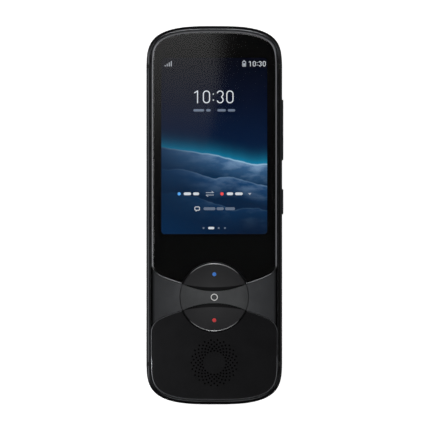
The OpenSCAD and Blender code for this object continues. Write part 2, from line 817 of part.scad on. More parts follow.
module antenna_breaks() {
    color("#2b2b2d") for (sx = [0, 1], sy = [-1, 1])
        mirror([sx, 0, 0]) translate([0, sy * break_y, 0]) rotate([90, 0, 0])
            linear_extrude(break_w - 2 * fit, center = true)
                polygon([for (s = frame_section()) [side_x - s[0], s[1]]]);
}

// ---- rear cover: a moulded tray with curved edges ----

module rear_cover() {
    turns = 7;
    outer = [for (i = [0:turns]) let (a = 90 * i / turns)
             ring_at(shell_edge * (1 - cos(a)), shell_h * (1 - sin(a)))];
    inner = [for (i = [turns:-1:0]) let (a = 90 * i / turns)
             ring_at(shell_wall + (shell_edge - shell_wall) * (1 - cos(a)),
                     shell_wall + (shell_h - shell_wall) * (1 - sin(a)))];
    color("#161618") difference() {
        union() {
            mirror([0, 0, 1]) loft([for (r = concat(inner, outer)) [for (p = r) [p[0], p[1], -p[2]]]]);
            for (s = [-1, 1]) translate([s * (inner_x - fit - rib_t / 2), 0, shell_h + rib_h / 2 - 0.5])
                cube([rib_t, rib_l, rib_h + 1], center = true);
        }
        disc(0, camera_y, -1, shell_wall + 1, camera_ring_d / 2 + inlay_fit);
        disc(0, flash_y, -1, shell_wall + 1, flash_d / 2 + inlay_fit);
    }
}

// ---- camera and flash ----

module camera_ring() {
    color("#3a3b3e") difference() {
        disc(0, camera_y, recess, camera_ring_t, camera_ring_d / 2);
        disc(0, camera_y, -1, recess + window_t, window_r + inlay_fit);
        disc(0, camera_y, -1, far, window_r - 0.5);
    }
}

module camera_window() {
    color("#0a0d12") disc(0, camera_y, recess + 0.1, recess + window_t, window_r);
}

module camera_module() {
    color("#15171a") difference() {
        union() {
            disc(0, camera_y, barrel_z, bracket_z + bracket_t + eps, barrel_d / 2);
            box(-camera_body / 2, camera_body / 2, camera_y - camera_body / 2, camera_y + camera_body / 2,
                bracket_z + bracket_t, main_z);
        }
        disc(0, camera_y, barrel_z - 1, barrel_z + 0.5, barrel_d / 2 - 1.4);
    }
}

// Channel that holds the camera and the flash against the main board
module camera_bracket() {
    low = flash_y - 3;
    high = camera_y + camera_body / 2 + bracket_over;
    out = bracket_in + bracket_wall;
    color("#8d9094") difference() {
        box(-out, out, low, high, bracket_z, main_z);
        box(-bracket_in, bracket_in, low - 1, high + 1, bracket_z + bracket_t, main_z + 1);
        disc(0, camera_y, 0, far, barrel_d / 2 + 0.1);
    }
}

module flash_lens() {
    color("#e9e4c8") disc(0, flash_y, recess, shell_wall, flash_d / 2);
}

module flash_led() {
    color("#f2d24a") translate([0, flash_y, bracket_z - flash_pcb[2] - led[2] / 2]) cube(led, center = true);
}

module flash_board() {
    color("#1e4d2b") translate([0, flash_y, bracket_z - flash_pcb[2] / 2]) cube(flash_pcb, center = true);
}

// ---- boards and what they carry ----

module board_plan(low, high) {
    intersection() {
        polygon(outline(board_inset));
        translate([-side_x, low]) square([body_w, high - low]);
    }
}

module main_board() {
    color("#1e4d2b") difference() {
        translate([0, 0, main_z]) linear_extrude(pcb_t) board_plan(main_low, top_y);
        jack_clearance(0, far);
        box(bay_x - 0.3, far, 0, volume_y + volume_l / 2 + strip_over, 0, far);
        for (p = main_screws) disc(p[0], p[1], 0, far, screw_d / 2 + inlay_fit);
    }
}

module lower_board() {
    color("#1e4d2b") difference() {
        translate([0, 0, lower_z]) linear_extrude(pcb_t) board_plan(-top_y, lower_high);
        for (p = lower_screws) disc(p[0], p[1], 0, far, screw_d / 2 + inlay_fit);
    }
}

module processor_shield() {
    color("#a9abad") box(bracket_in + bracket_wall + 2, side_x - processor_from_side,
                          main_low + processor_up, main_low + processor_up + processor_l,
                          main_z - processor_t, main_z);
}

module charger_shield() {
    color("#a9abad") translate([-charger[0] / 2, lower_high - charger_down - charger[1],
                                 lower_z - charger[2]]) cube(charger);
}

module screws() {
    color("#b8babd") {
        for (p = main_screws) screw(p, main_z);
        for (p = lower_screws) screw(p, lower_z);
    }
}

// A pan-head screw under a board, its shank up in the chassis
module screw(p, z) {
    disc(p[0], p[1], z - screw_head_t, z, screw_head_d / 2);
    disc(p[0], p[1], z - eps, chassis_z + thread_depth - fit, screw_d / 2);
}

module vibration_motor() {
    color("#b0b2b5") disc(motor_at[0], motor_at[1], main_z - motor_t, main_z, motor_r);
}

module battery() {
    color("#23252b") box(-battery_w / 2, battery_w / 2, battery_top - battery_l, battery_top,
                         battery_z, battery_z + battery_t);
}

// Two strips of tape, one on each side of the display ribbon
module battery_adhesive() {
    x0 = ribbon_w / 2 + tape_gap;
    x1 = battery_w / 2 - tape_in;
    color("#e8e8e8") for (s = [0, 1]) mirror([s, 0, 0])
        box(x0, x1, battery_top - battery_l + tape_in, battery_top - tape_in, chassis_z - ribbon_t, chassis_z);
}

module battery_board() {
    half = battery_w / 2 - protection_in;
    color("#1e4d2b") box(-half, half, battery_top + fit, battery_top + fit + protection[0],
                         main_z - protection_drop - protection[1], main_z - protection_drop);
}

module battery_lead() {
    at = battery_top + fit + protection[0];
    profile = [[at, main_z - lead_drop], [at + lead_t, main_z - lead_drop], [at + lead_t, main_z - lead_t],
               [at + lead_l, main_z - lead_t], [at + lead_l, main_z], [at, main_z]];
    color("#b5651d") translate([-lead_w / 2, 0, 0]) rotate([90, 0, 90]) linear_extrude(lead_w)
        polygon(profile);
}

// ---- ports ----

module usb_shell() {
    color("#b9bbbd") translate([0, usb_y, usb_z]) rotate([-90, 0, 0]) linear_extrude(usb_l) difference() {
        stadium(usb_w, usb_h);
        stadium(usb_w - 2 * usb_wall, usb_h - 2 * usb_wall);
    }
}

// Plastic back of the port and the tongue that stands in its mouth
module usb_tongue() {
    back_y = usb_y + usb_l - usb_back;
    color("#101010") {
        translate([0, back_y, usb_z]) rotate([-90, 0, 0]) linear_extrude(usb_back)
            stadium(usb_w - 2 * usb_wall - 2 * inlay_fit, usb_h - 2 * usb_wall - 2 * inlay_fit);
        translate([-tongue[0] / 2, back_y - tongue[1], usb_z - tongue[2] / 2])
            cube([tongue[0], tongue[1] + eps, tongue[2]]);
    }
}

module audio_jack() {
    color("#141414") difference() {
        union() {
            box(jack_x - jack_body[0] / 2, jack_x + jack_body[0] / 2, jack_back, jack_front,
                jack_z - jack_body[2] / 2, jack_z + jack_body[2] / 2);
            translate([jack_x, jack_mouth, jack_z]) rotate([90, 0, 0])
                cylinder(h = jack_mouth - jack_front + eps, r = jack_nose_r, $fn = 48);
        }
        translate([jack_x, jack_mouth + 1, jack_z]) rotate([90, 0, 0])
            cylinder(h = jack_depth + 1, d = jack_d, $fn = 48);
    }
}

// A microphone in its rubber boot, behind its hole in the frame
module microphone(x, y, z) {
    translate([x - mic_size[0] / 2, y, z]) cube(mic_size);
}

module microphones() {
    color("#303030") {
        for (s = [-1, 1]) microphone(s * mic_x, -mic_face, lower_top);
        microphone(mic_x, mic_face - mic_size[1], main_z - mic_size[2]);
    }
}

// ---- SIM tray ----

module sim_tray() {
    door_l = sim_door_l;
    pin_y = sim_y + door_l / 2 - 1.4;
    in_x = tray_x + tray_l;
    card_x = in_x - tray_wall - card_l - card_fit;
    color("#1d1d1f") difference() {
        union() {
            side_stadium(-side_x, tray_x, sim_y, sim_z, door_l, sim_door_h);
            box(tray_x - eps, in_x, sim_y - tray_w / 2, sim_y + tray_w / 2, sim_z - tray_t / 2,
                sim_z + tray_t / 2);
        }
        box(card_x, card_x + card_l + card_fit, sim_y - (card_w + card_fit) / 2,
            sim_y + (card_w + card_fit) / 2, sim_z - 2, sim_z - tray_t / 2 + card_depth);
        box(card_x + card_ledge, card_x + card_l - card_ledge, sim_y - card_w / 2 + card_ledge,
            sim_y + card_w / 2 - card_ledge, sim_z - 2, sim_z + 2);
        translate([-side_x - 1, pin_y, sim_z]) rotate([0, 90, 0]) cylinder(h = 4, d = pin_hole_d, $fn = 24);
    }
}

// Reader on the main board, a flat sleeve open to the slot in the frame
module sim_reader() {
    end_x = tray_x + tray_l + reader_gap + 0.6;
    half = tray_w / 2 + reader_gap;
    color("#a9abad") difference() {
        box(reader_x, end_x, sim_y - half - reader_wall, sim_y + half + reader_wall,
            sim_z - tray_t / 2 - reader_gap - reader_wall, main_z);
        box(reader_x - 1, tray_x + tray_l + reader_gap, sim_y - half, sim_y + half,
            sim_z - tray_t / 2 - reader_gap, sim_z + tray_t / 2 + 0.15);
    }
}

// ---- side buttons ----

// Side view of a cap whose outer corners are cut back, for a width w
function cap_plan(w) = [[inner_x - flange_gap - flange_t / 2 - 1, w / 2 + button_bevel],
                        [side_x + button_out - 2 * button_bevel, w / 2 + button_bevel],
                        [side_x + button_out, w / 2 - button_bevel],
                        [side_x + button_out, button_bevel - w / 2],
                        [side_x + button_out - 2 * button_bevel, -w / 2 - button_bevel],
                        [inner_x - flange_gap - flange_t / 2 - 1, -w / 2 - button_bevel]];

module button_cap(y, l) {
    translate([0, y, button_z]) intersection() {
        side_stadium(inner_x - flange_gap - flange_t / 2, side_x + button_out, 0, 0, l, button_h);
        linear_extrude(button_h + 1, center = true) polygon(cap_plan(l));
        rotate([90, 0, 0]) linear_extrude(l + 1, center = true) polygon(cap_plan(button_h));
    }
}

module button_flange(y, l) {
    side_stadium(inner_x - flange_gap - flange_t, inner_x - flange_gap, y, button_z, l,
                 button_h + 2 * flange_rise);
}

module plunger(y) {
    translate([plunger_x, y, button_z]) rotate([0, 90, 0])
        cylinder(h = inner_x - flange_gap - plunger_x, r = plunger_r, $fn = 24);
}

// The rocker is hooked in at its middle and tips either way onto its two switches
module volume_rocker() {
    color("#1c1c1e") {
        button_cap(volume_y, volume_l);
        button_flange(volume_y, rocker_hook);
        for (s = [-1, 1]) plunger(volume_y + s * rocker_arm);
    }
}

module power_button() {
    color("#1c1c1e") {
        button_cap(power_y, power_l);
        button_flange(power_y, power_l + 2 * flange_rise);
        plunger(power_y);
    }
}

module side_switch_strip() {
    color("#b5651d") box(strip_x, strip_x + strip_t, power_y - power_l / 2 - strip_over + 0.3,
                         volume_y + volume_l / 2 + strip_over - 0.3, button_z - strip_h / 2,
                         button_z + strip_h / 2);
}

module side_switches() {
    color("#c9cacc") for (y = switch_places)
        translate([switch_x - switch_t / 2, y, button_z]) cube([switch_t, switch_size[0], switch_size[1]], center = true);
}

front_glass();
glass_gasket();
lcd_panel();
backlight();
display_ribbon();
waist_trim();
speaker_cover();
speaker_mesh();
speaker_gasket();
speaker_module();
blue_key();
blue_light_guide();
red_key();
red_light_guide();
home_key();
home_legend();
key_board();
key_domes();
chassis();
frame_top_cap();
frame_bottom_cap();
frame_left_rail();
frame_right_rail();
antenna_breaks();
rear_cover();
camera_ring();
camera_window();
camera_module();
camera_bracket();
flash_lens();
flash_led();
flash_board();
main_board();
processor_shield();
charger_shield();
sim_reader();
sim_tray();
battery();
battery_adhesive();
battery_board();
battery_lead();
vibration_motor();
lower_board();
usb_shell();
usb_tongue();
audio_jack();
microphones();
volume_rocker();
power_button();
side_switch_strip();
side_switches();
screws();
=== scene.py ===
import math

import bmesh
import bpy
from bpy.props import FloatProperty, FloatVectorProperty, IntProperty, PointerProperty
from mathutils import Matrix, Vector


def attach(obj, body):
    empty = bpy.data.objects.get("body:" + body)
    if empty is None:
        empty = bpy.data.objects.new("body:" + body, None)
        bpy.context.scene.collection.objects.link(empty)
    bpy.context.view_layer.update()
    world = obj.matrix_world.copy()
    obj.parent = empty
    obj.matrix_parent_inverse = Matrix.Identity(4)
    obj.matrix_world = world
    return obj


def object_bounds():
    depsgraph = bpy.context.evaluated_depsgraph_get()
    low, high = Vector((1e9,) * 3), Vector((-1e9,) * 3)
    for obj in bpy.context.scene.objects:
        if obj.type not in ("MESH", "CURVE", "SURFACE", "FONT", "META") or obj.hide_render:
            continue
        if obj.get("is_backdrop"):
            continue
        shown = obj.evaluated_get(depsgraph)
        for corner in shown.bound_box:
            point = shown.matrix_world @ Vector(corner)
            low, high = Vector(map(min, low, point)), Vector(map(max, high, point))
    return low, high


bl_info = {
    "name": "Pocket translator builder",
    "version": (1, 0, 0),
    "blender": (4, 5, 0),
    "location": "View3D > Sidebar > Translator",
    "description": "Dresses the packed translator model and builds its finished outer pieces",
    "category": "Object",
}

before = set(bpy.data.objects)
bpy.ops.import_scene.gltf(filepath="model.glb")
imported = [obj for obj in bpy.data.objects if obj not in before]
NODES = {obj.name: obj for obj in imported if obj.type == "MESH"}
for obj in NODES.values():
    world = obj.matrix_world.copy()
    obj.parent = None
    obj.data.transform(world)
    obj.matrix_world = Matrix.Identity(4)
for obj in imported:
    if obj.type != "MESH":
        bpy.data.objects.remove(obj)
MM = 0.001

# Sizes of the model in millimetres, as the CAD nodes have them
SIDE_X, END_Y, END_L, END_NX, END_NY = 26.0, 53.5, 19.0, 3.0, 4.1   # the outline and its two powers
FRONT_X, GLASS_Z = 24.25, 11.9                                      # the front glass's side and its back
KEY_Y, WELL_R = -31.4, 13.3                                         # the key cluster's round well
WAIST_HALF, WAIST_R, CORNER_R = 3.6, 48.5, 6.0                      # the arcs of the waist
LIT = (-20.25, -7.2, 20.25, 60.3)                                   # the lit part of the display
CAMERA_Y, FLASH_Y, BARREL_Z, BACK_Z = 55.5, 45.5, 1.35, 1.3         # camera and flash in the back
PORT_Z, TONGUE_HALF, TONGUE_REACH = 6.88, 0.35, (-70.9, -67.2)      # the data socket's tongue
JACK_X, JACK_Z, JACK_R = -9.0, 7.1, 1.8                             # the audio bore
KEYS_AT = KEY_Y * MM   # the cluster's middle in metres, for shaders and lamps


def save_size(size=None):
    """Records the corners of the CAD model and of the finished one in a dictionary, which it returns."""
    low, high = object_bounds()
    now = [list(low), list(high)]
    size = size or {"cad": now}
    size["finished"] = now
    return size


SIZE = save_size()


# ---------------------------------------------------------------- shader tools


def linear(code):
    """Scene-linear colour of an sRGB hex code; a colour that already is linear keeps its values."""
    if not isinstance(code, str):
        return [*code[:3], 1.0]
    channels = [int(code[i:i + 2], 16) / 255 for i in (1, 3, 5)]
    return [c / 12.92 if c <= 0.04045 else ((c + 0.055) / 1.055) ** 2.4 for c in channels] + [1.0]


def add_node(tree, kind, inputs=(), stops=(), **settings):
    """Adds a shader node. An input is a constant, a socket, or a node whose first output is linked.

    stops holds the (position, hex code) pairs of a colour ramp."""
    made = tree.nodes.new("ShaderNode" + kind)
    made.location = (len(tree.nodes) * 190 - 2400, 0)
    for name, value in settings.items():
        setattr(made, name, value)
    band = made.color_ramp.elements if stops else ()
    while len(band) < len(stops):
        band.new(0.5)
    for element, (at, code) in zip(band, stops):
        element.position = at
        element.color = linear(code)
    for key, value in inputs.items() if isinstance(inputs, dict) else enumerate(inputs):
        if isinstance(value, bpy.types.Node):
            value = value.outputs[0]
        if isinstance(value, bpy.types.NodeSocket):
            tree.links.new(value, made.inputs[key])
        else:
            made.inputs[key].default_value = value
    return made


def axes(tree, kind="Object"):
    """The three sockets of a coordinate or of the normal."""
    return add_node(tree, "SeparateXYZ", {0: add_node(tree, "TexCoord").outputs[kind]}).outputs


def new_material(name, color):
    """An empty material with its output; color is how it shows in the solid view."""
    material = bpy.data.materials.new(name)
    material.use_nodes = True
    material.diffuse_color = linear(color)
    tree = material.node_tree
    tree.nodes.clear()
    return material, tree, add_node(tree, "OutputMaterial")


def place(tree, scale=(1, 1, 1)):
    """Object coordinates, squeezed along some axes."""
    at = add_node(tree, "TexCoord").outputs["Object"]
    return add_node(tree, "Mapping", {0: at, 3: scale}).outputs[0]


def noise(tree, size, where=None, detail=2.0):
    """Noise whose cells are about size metres across."""
    where = where or place(tree)
    return add_node(tree, "TexNoise", {"Vector": where, "Scale": 1 / size, "Detail": detail}).outputs[0]


def bumped(tree, height, depth, edge=0.0):
    """Normal socket: height in 0..1 raises the surface by depth metres; edge rounds sharp corners."""
    inputs = {"Height": height, "Distance": depth, "Strength": 1.0}
    if edge:
        inputs["Normal"] = add_node(tree, "Bevel", {"Radius": edge}, samples=6).outputs[0]
    return add_node(tree, "Bump", inputs).outputs[0]


def finish(name, color, rough, metal=0.0, vary=0.12, vary_size=0.006, grain=4e-6, grain_size=0.00025,
           brush=(1, 1, 1), edge=0.00012, coat=0.0, ior=1.5, smudge=0.06, zones=()):
    """A solid material with colour drift, uneven gloss and a fine relief, brushed along one axis if asked.

    Each zone is (mask, colour, gloss, metal); its mask gives the socket that lays it over the rest."""
    material, tree, out = new_material(name, color)
    drift = add_node(tree, "MapRange", (noise(tree, vary_size, detail=3), 0.3, 0.7, 0, 1))
    tint = add_node(tree, "Mix", {0: drift, 6: [c * (1 - vary) for c in linear(color)[:3]] + [1],
                                  7: [min(1, c * (1 + vary)) for c in linear(color)[:3]] + [1]},
                    data_type="RGBA").outputs[2]
    haze = noise(tree, vary_size * 1.7, detail=4)
    gloss = add_node(tree, "MapRange", (haze, 0.3, 0.7, rough - smudge, rough + smudge))
    for mask, shade, polish, metallic in zones:
        share = mask(tree)
        tint = add_node(tree, "Mix", {0: share, 6: tint, 7: linear(shade)}, data_type="RGBA").outputs[2]
        gloss = add_node(tree, "Mix", {0: share, 2: gloss, 3: polish}).outputs[0]
        metal = add_node(tree, "Mix", {0: share, 2: metal, 3: metallic}).outputs[0]
    normal = bumped(tree, noise(tree, grain_size, place(tree, brush)), grain, edge)
    shader = add_node(tree, "BsdfPrincipled", {
        "Base Color": tint, "Roughness": gloss, "Metallic": metal, "IOR": ior, "Normal": normal,
        "Coat Weight": coat, "Coat Roughness": 0.1})
    tree.links.new(shader.outputs[0], out.inputs[0])
    return material


def facing(low, high):
    """Mask of the surfaces that lean away from the front: full below low, none above high."""
    return lambda tree: add_node(tree, "MapRange", (axes(tree, "Normal")[2], low, high, 1.0, 0.0))


def level(low, high):
    """Mask of the surfaces that face the front: none below low, full above high."""
    return lambda tree: add_node(tree, "Math", (1.0, facing(low, high)(tree)), operation="SUBTRACT")


def beyond(radius, soft=0.00003, above=-1.0, reach=1.0):
    """Mask of what lies outside a circle round the key cluster's middle, above a height and near x = 0."""
    def mask(tree):
        at = axes(tree)
        along = add_node(tree, "Math", (at[1], KEYS_AT), operation="SUBTRACT")
        flat = add_node(tree, "CombineXYZ", (at[0], along, 0.0))
        away = add_node(tree, "VectorMath", (flat,), operation="LENGTH").outputs["Value"]
        outside = add_node(tree, "MapRange", (away, radius - soft, radius + soft, 0.0, 1.0))
        across = add_node(tree, "Math", (at[0],), operation="ABSOLUTE")
        near = add_node(tree, "MapRange", (across, reach * 0.25, reach, 1.0, 0.0))
        raised = add_node(tree, "MapRange", (at[2], above - soft, above + soft, 0.0, 1.0))
        share = add_node(tree, "Math", (outside, near), operation="MULTIPLY")
        return add_node(tree, "Math", (share, raised), operation="MULTIPLY")
    return mask


def past(axis, start, end, mirror=True):
    """Mask that grows from start to end metres along an axis, on both sides of the middle or on one."""
    def mask(tree):
        at = axes(tree)[axis]
        if mirror:
            at = add_node(tree, "Math", (at,), operation="ABSOLUTE")
        return add_node(tree, "MapRange", (at, start, end, 0.0, 1.0))
    return mask


def near_outline(start, end):
    """Mask that grows towards the body's outline, worked out with the outline's own formula."""
    def mask(tree):
        x, y = [add_node(tree, "Math", (at,), operation="ABSOLUTE") for at in axes(tree)[:2]]
        reach = add_node(tree, "Math", (y, END_Y * MM), operation="SUBTRACT")
        terms = []
        for way, size, power in ((x, SIDE_X, END_NX), (reach, END_L, END_NY)):
            share = add_node(tree, "Math", (way, 1 / (size * MM)), operation="MULTIPLY", use_clamp=True)
            terms.append(add_node(tree, "Math", (share, power), operation="POWER"))
        total = add_node(tree, "Math", terms, operation="ADD")
        return add_node(tree, "MapRange", (total, start, end, 0.0, 1.0))
    return mask


def among(*masks):
    """Mask of what lies inside every one of the masks."""
    def mask(tree):
        share = masks[0](tree)
        for other in masks[1:]:
            share = add_node(tree, "Math", (share, other(tree)), operation="MULTIPLY")
        return share
    return mask


def shine(name, color, strength):
    """A lit picture element: colour drifts a little across it, as behind a real diffuser."""
    material, tree, out = new_material(name, color)
    even = add_node(tree, "MapRange", (noise(tree, 0.004), 0.3, 0.7, strength * 0.96, strength))
    glow = add_node(tree, "Emission", {"Color": linear(color), "Strength": even})
    tree.links.new(glow.outputs[0], out.inputs[0])
    return material


# ---------------------------------------------------------------- studio


def add_object(name, data):
    """A new object in the scene."""
    made = bpy.data.objects.new(name, data)
    bpy.context.scene.collection.objects.link(made)
    return made


def mesh_object(name, bm, material):
    """Turns a mesh under construction into a new object with one material."""
    mesh = bpy.data.meshes.new(name)
    bm.to_mesh(mesh)
    bm.free()
    mesh.materials.append(material)
    return add_object(name, mesh)


def stage_sheet(name, corners, material):
    """A flat four-sided stage piece."""
    bm = bmesh.new()
    bm.faces.new([bm.verts.new(c) for c in corners])
    made = mesh_object(name, bm, material)
    made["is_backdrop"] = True
    return made


def floor_material():
    """Matt white paper that keeps the part's shadow but burns out to white around it."""
    material, tree, out = new_material("white_paper_sweep", "#f4f4f2")
    paper = add_node(tree, "BsdfDiffuse", {"Color": linear("#ececec")})
    lift = add_node(tree, "Emission", {"Color": (1, 1, 1, 1), "Strength": 0.6})
    both = add_node(tree, "AddShader", {0: paper.outputs[0], 1: lift.outputs[0]})
    seen = add_node(tree, "LightPath").outputs["Is Camera Ray"]
    dull = add_node(tree, "BsdfDiffuse", {"Color": linear("#6a6a6a")})
    shown = add_node(tree, "MixShader", {0: seen, 1: dull.outputs[0], 2: both.outputs[0]})
    back = add_node(tree, "NewGeometry").outputs["Backfacing"]
    clear = add_node(tree, "BsdfTransparent")
    sided = add_node(tree, "MixShader", {0: back, 1: shown.outputs[0], 2: clear.outputs[0]})
    tree.links.new(sided.outputs[0], out.inputs[0])
    return material


def card_material(look):
    """The overhead card that the glass mirrors: a slanted bright patch that fades towards the keys."""
    material, tree, out = new_material("reflected_ceiling", "#808080")
    x, y = axes(tree)[:2]
    climb = add_node(tree, "MapRange", (y, 0.0, 0.087, 0, 1))
    high = add_node(tree, "ValToRGB", (climb,), [(0, "#000000"), (0.28, "#353535"), (0.5, "#6c6c6c"),
                                                 (1, "#b4b4b4")])
    # the patch ends in a slanted edge that is softer towards the top
    slant = add_node(tree, "Math", (y, 0.2), operation="MULTIPLY")
    lean = add_node(tree, "Math", (x, slant), operation="SUBTRACT")
    across = add_node(tree, "Math", (lean, 0.0098), operation="ADD")
    fade = add_node(tree, "MapRange", (y, 0.060, 0.088, -0.0008, -0.012))
    side = add_node(tree, "MapRange", (across, fade, 0.0008, 1.0, 0.0))
    inner = add_node(tree, "MapRange", (x, -0.075, -0.03, 0.9, 1.0))
    patch = add_node(tree, "Math", (high, side), operation="MULTIPLY")
    patch = add_node(tree, "Math", (patch, inner), operation="MULTIPLY")
    # a faint glow at the lower left
    low = add_node(tree, "MapRange", (x, -0.12, 0.10, 1.0, 0.0))
    lower = add_node(tree, "MapRange", (y, -0.035, -0.06, 0.0, 0.5))
    soft = add_node(tree, "Math", (low, lower), operation="MULTIPLY")
    both = add_node(tree, "Math", (patch, soft), operation="ADD")
    bright = add_node(tree, "Math", (both, look.glare, 0.018), operation="MULTIPLY_ADD")
    glow = add_node(tree, "Emission", {"Strength": bright})
    tree.links.new(glow.outputs[0], out.inputs[0])
    return material


SIDE_FAR = 0.95   # distance of the side softboxes


def leaning(degrees):
    """Place of a lamp that leans to one side of straight up."""
    turn = math.radians(degrees)
    return (SIDE_FAR * math.sin(turn), 0.03, SIDE_FAR * math.cos(turn))


# Corners of the paper just under the part, and of the card high above it
FLOOR = [(-3, -3, -4e-5), (3, -3, -4e-5), (3, 3, -4e-5), (-3, 3, -4e-5)]
CARD = [(-0.12, -0.16, 0.6), (-0.12, 0.14, 0.6), (0.12, 0.14, 0.6), (0.12, -0.16, 0.6)]

# Each lamp: (name, place, aim, width and length, its setting, its share of that, the nodes it lights)
LAMPS = [
    ("overhead", (0, 0, 1.9), (0, 0, 0), (1.6, 1.6), "top_power", 1.0, ()),
    ("side_left", leaning(-38), (0, 0, 0.01), (1.1, 1.1), "side_power", 1.0, ()),
    ("side_right", leaning(48), (0, 0, 0.01), (1.3, 1.1), "side_power", 0.85, ()),
    ("strip_foot", (0, -0.0735, 0.06), (0, -0.0715, 0.012), (0.08, 0.004), "strip_power", 0.12,
     ("frame_bottom_cap",)),
    ("rim_foot", (0, KEYS_AT - 0.075, 0.022), (0, KEYS_AT - 0.012, 0.0129), (0.03, 0.008), "rim_power", 1.0,
     ("red_key",)),
    ("bank_foot", (0, -0.2, 0.35), (0, -0.07, 0.0127), (0.3, 0.1), "bank_power", 1.7, ("speaker_cover",)),
    ("strip_head", (0, 0.0735, 0.06), (0, 0.0715, 0.012), (0.08, 0.004), "strip_power", 1.0,
     ("frame_top_cap",)),
    ("rim_head", (0, KEYS_AT + 0.075, 0.022), (0, KEYS_AT + 0.012, 0.0129), (0.03, 0.008), "rim_power", 1.0,
     ("blue_key",)),
    ("bank_head", (0, 0.17, 0.35), (0, 0.07, 0.0127), (0.3, 0.1), "bank_power", 1.0, ("front_glass",)),
    ("bank_far", (0, 0.4, 0.3), (0, 0.07, 0.0127), (0.3, 0.24), "bank_power", 2.2, ("front_glass",)),
    ("below", (0, 0, -0.7), (0, 0, 0), (0.9, 0.9), "side_power", 0.5, ()),
    ("edge_lamp_left", (-0.1, -0.29, 0.022), (-0.01, -0.03, 0.0127), (0.22, 0.03), "edge_power", 0.75,
     ("front_glass",)),
    ("edge_lamp_right", (0.1, -0.29, 0.022), (0.01, -0.03, 0.0127), (0.22, 0.03), "edge_power", 0.6,
     ("front_glass",)),
    ("cluster_lamp", (0, KEYS_AT, 0.055), (0, KEYS_AT, 0.0), (0.012, 0.012), "key_power", 1.0,
     ("waist_trim", "home_key", "blue_key", "red_key")),
    ("cover_lamp", (-0.06, -0.048, 0.05), (-0.014, -0.055, 0.0127), (0.02, 0.02), "cover_power", 1.0,
     ("speaker_cover",)),
]


def softbox(name, at, aim, size, power, only=()):
    """An area light that looks from at to aim, and lights every node or only those named."""
    light = bpy.data.lights.new(name, "AREA")
    light.shape = "RECTANGLE"
    light.size, light.size_y = size
    light.energy = power
    made = add_object(name, light)
    made.location = at
    made.rotation_euler = (Vector(aim) - Vector(at)).to_track_quat("-Z", "Y").to_euler()
    made.visible_camera = False
    if only:
        group = bpy.data.collections.new(name + "_lights")
        for node in only:
            group.objects.link(NODES[node])
        made.light_linking.receiver_collection = group
    return made


def build_world(look):
    """White for the camera; for everything else a grey room that is dark overhead."""
    world = bpy.data.worlds.new("studio_room")
    world.use_nodes = True
    tree = world.node_tree
    tree.nodes.clear()
    up = axes(tree, "Generated")[2]
    room = add_node(tree, "ValToRGB", (up,), [(0.0, "#8c8c8c"), (0.35, "#9a9a9a"), (0.8, "#767676"),
                                              (0.93, "#737373")])
    dim = add_node(tree, "Background", {0: room, 1: look.room})
    white = add_node(tree, "Background", {0: (1, 1, 1, 1), 1: 1.0})
    seen = add_node(tree, "LightPath").outputs["Is Camera Ray"]
    both = add_node(tree, "MixShader", {0: seen, 1: dim.outputs[0], 2: white.outputs[0]})
    tree.links.new(both.outputs[0], add_node(tree, "OutputWorld").inputs[0])
    bpy.context.scene.world = world


def build_camera(look):
    """A long lens straight above the screen, framed like a catalogue picture."""
    camera = bpy.data.cameras.new("camera")
    camera.type = "PERSP"
    camera.sensor_width = 36
    camera.lens = 36 * look.distance / look.frame_width
    camera.clip_start, camera.clip_end = 0.05, 20
    made = add_object("camera", camera)
    made.location = (0.28 * MM, 0.09 * MM, look.distance + 12.7 * MM)
    bpy.context.scene.camera = made
    return made


# ---------------------------------------------------------------- shapes, in millimetres


def arc(center, radius, start, end, steps):
    """Points on an arc from start to end degrees."""
    angles = [math.radians(start + (end - start) * i / steps) for i in range(steps + 1)]
    return [(center[0] + radius * math.cos(a), center[1] + radius * math.sin(a)) for a in angles]


def outline(inset, steps=24):
    """The body's outline, inset sideways, counter-clockwise from its right side."""
    quarter = []
    for i in range(steps + 1):
        c, s = math.cos(math.pi / 2 * i / steps), math.sin(math.pi / 2 * i / steps)
        c = max(c, 0.0)
        slope = Vector((END_NX / SIDE_X * c ** (2 - 2 / END_NX), END_NY / END_L * s ** (2 - 2 / END_NY)))
        slope.normalize()
        quarter.append((SIDE_X * c ** (2 / END_NX) - inset * slope.x,
                        END_Y + END_L * s ** (2 / END_NY) - inset * slope.y))
    upper = quarter + [(-x, y) for x, y in quarter[-2::-1]]
    return upper + [(-x, -y) for x, y in upper]


def waist(grow):
    """The glass's lower edge from left to right, round the key opening, moved out by grow."""
    big_y = WAIST_HALF + WAIST_R
    small_x = FRONT_X - CORNER_R
    small_y = big_y - math.sqrt((WAIST_R - CORNER_R) ** 2 - small_x ** 2)
    turn = 180 + math.degrees(math.acos(small_x / (WAIST_R - CORNER_R)))
    left = arc((-small_x, small_y), CORNER_R + grow, 180, turn, 10)
    left += arc((0, big_y), WAIST_R + grow, turn, 270, 60)[1:]
    well = WELL_R - grow
    left = [p for p in left if math.hypot(*p) > well + 0.05]
    angle = math.degrees(math.atan2(left[-1][1], left[-1][0])) % 360
    over = arc((0, 0), well, angle, 180 - angle, 48)
    right = [(-x, y) for x, y in reversed(left)]
    return [(x, y + KEY_Y) for x, y in left + over + right]


def round_box(x0, y0, x1, y1, radius, steps=6):
    """A rectangle with round corners, counter-clockwise."""
    corners = [(x1 - radius, y0 + radius, -90), (x1 - radius, y1 - radius, 0),
               (x0 + radius, y1 - radius, 90), (x0 + radius, y0 + radius, 180)]
    return [p for x, y, a in corners for p in arc((x, y), radius, a, a + 90, steps)]


def circle(x, y, radius, steps=48):
    """A circle's points, counter-clockwise."""
    return arc((x, y), radius, 0, 360, steps)[:-1]


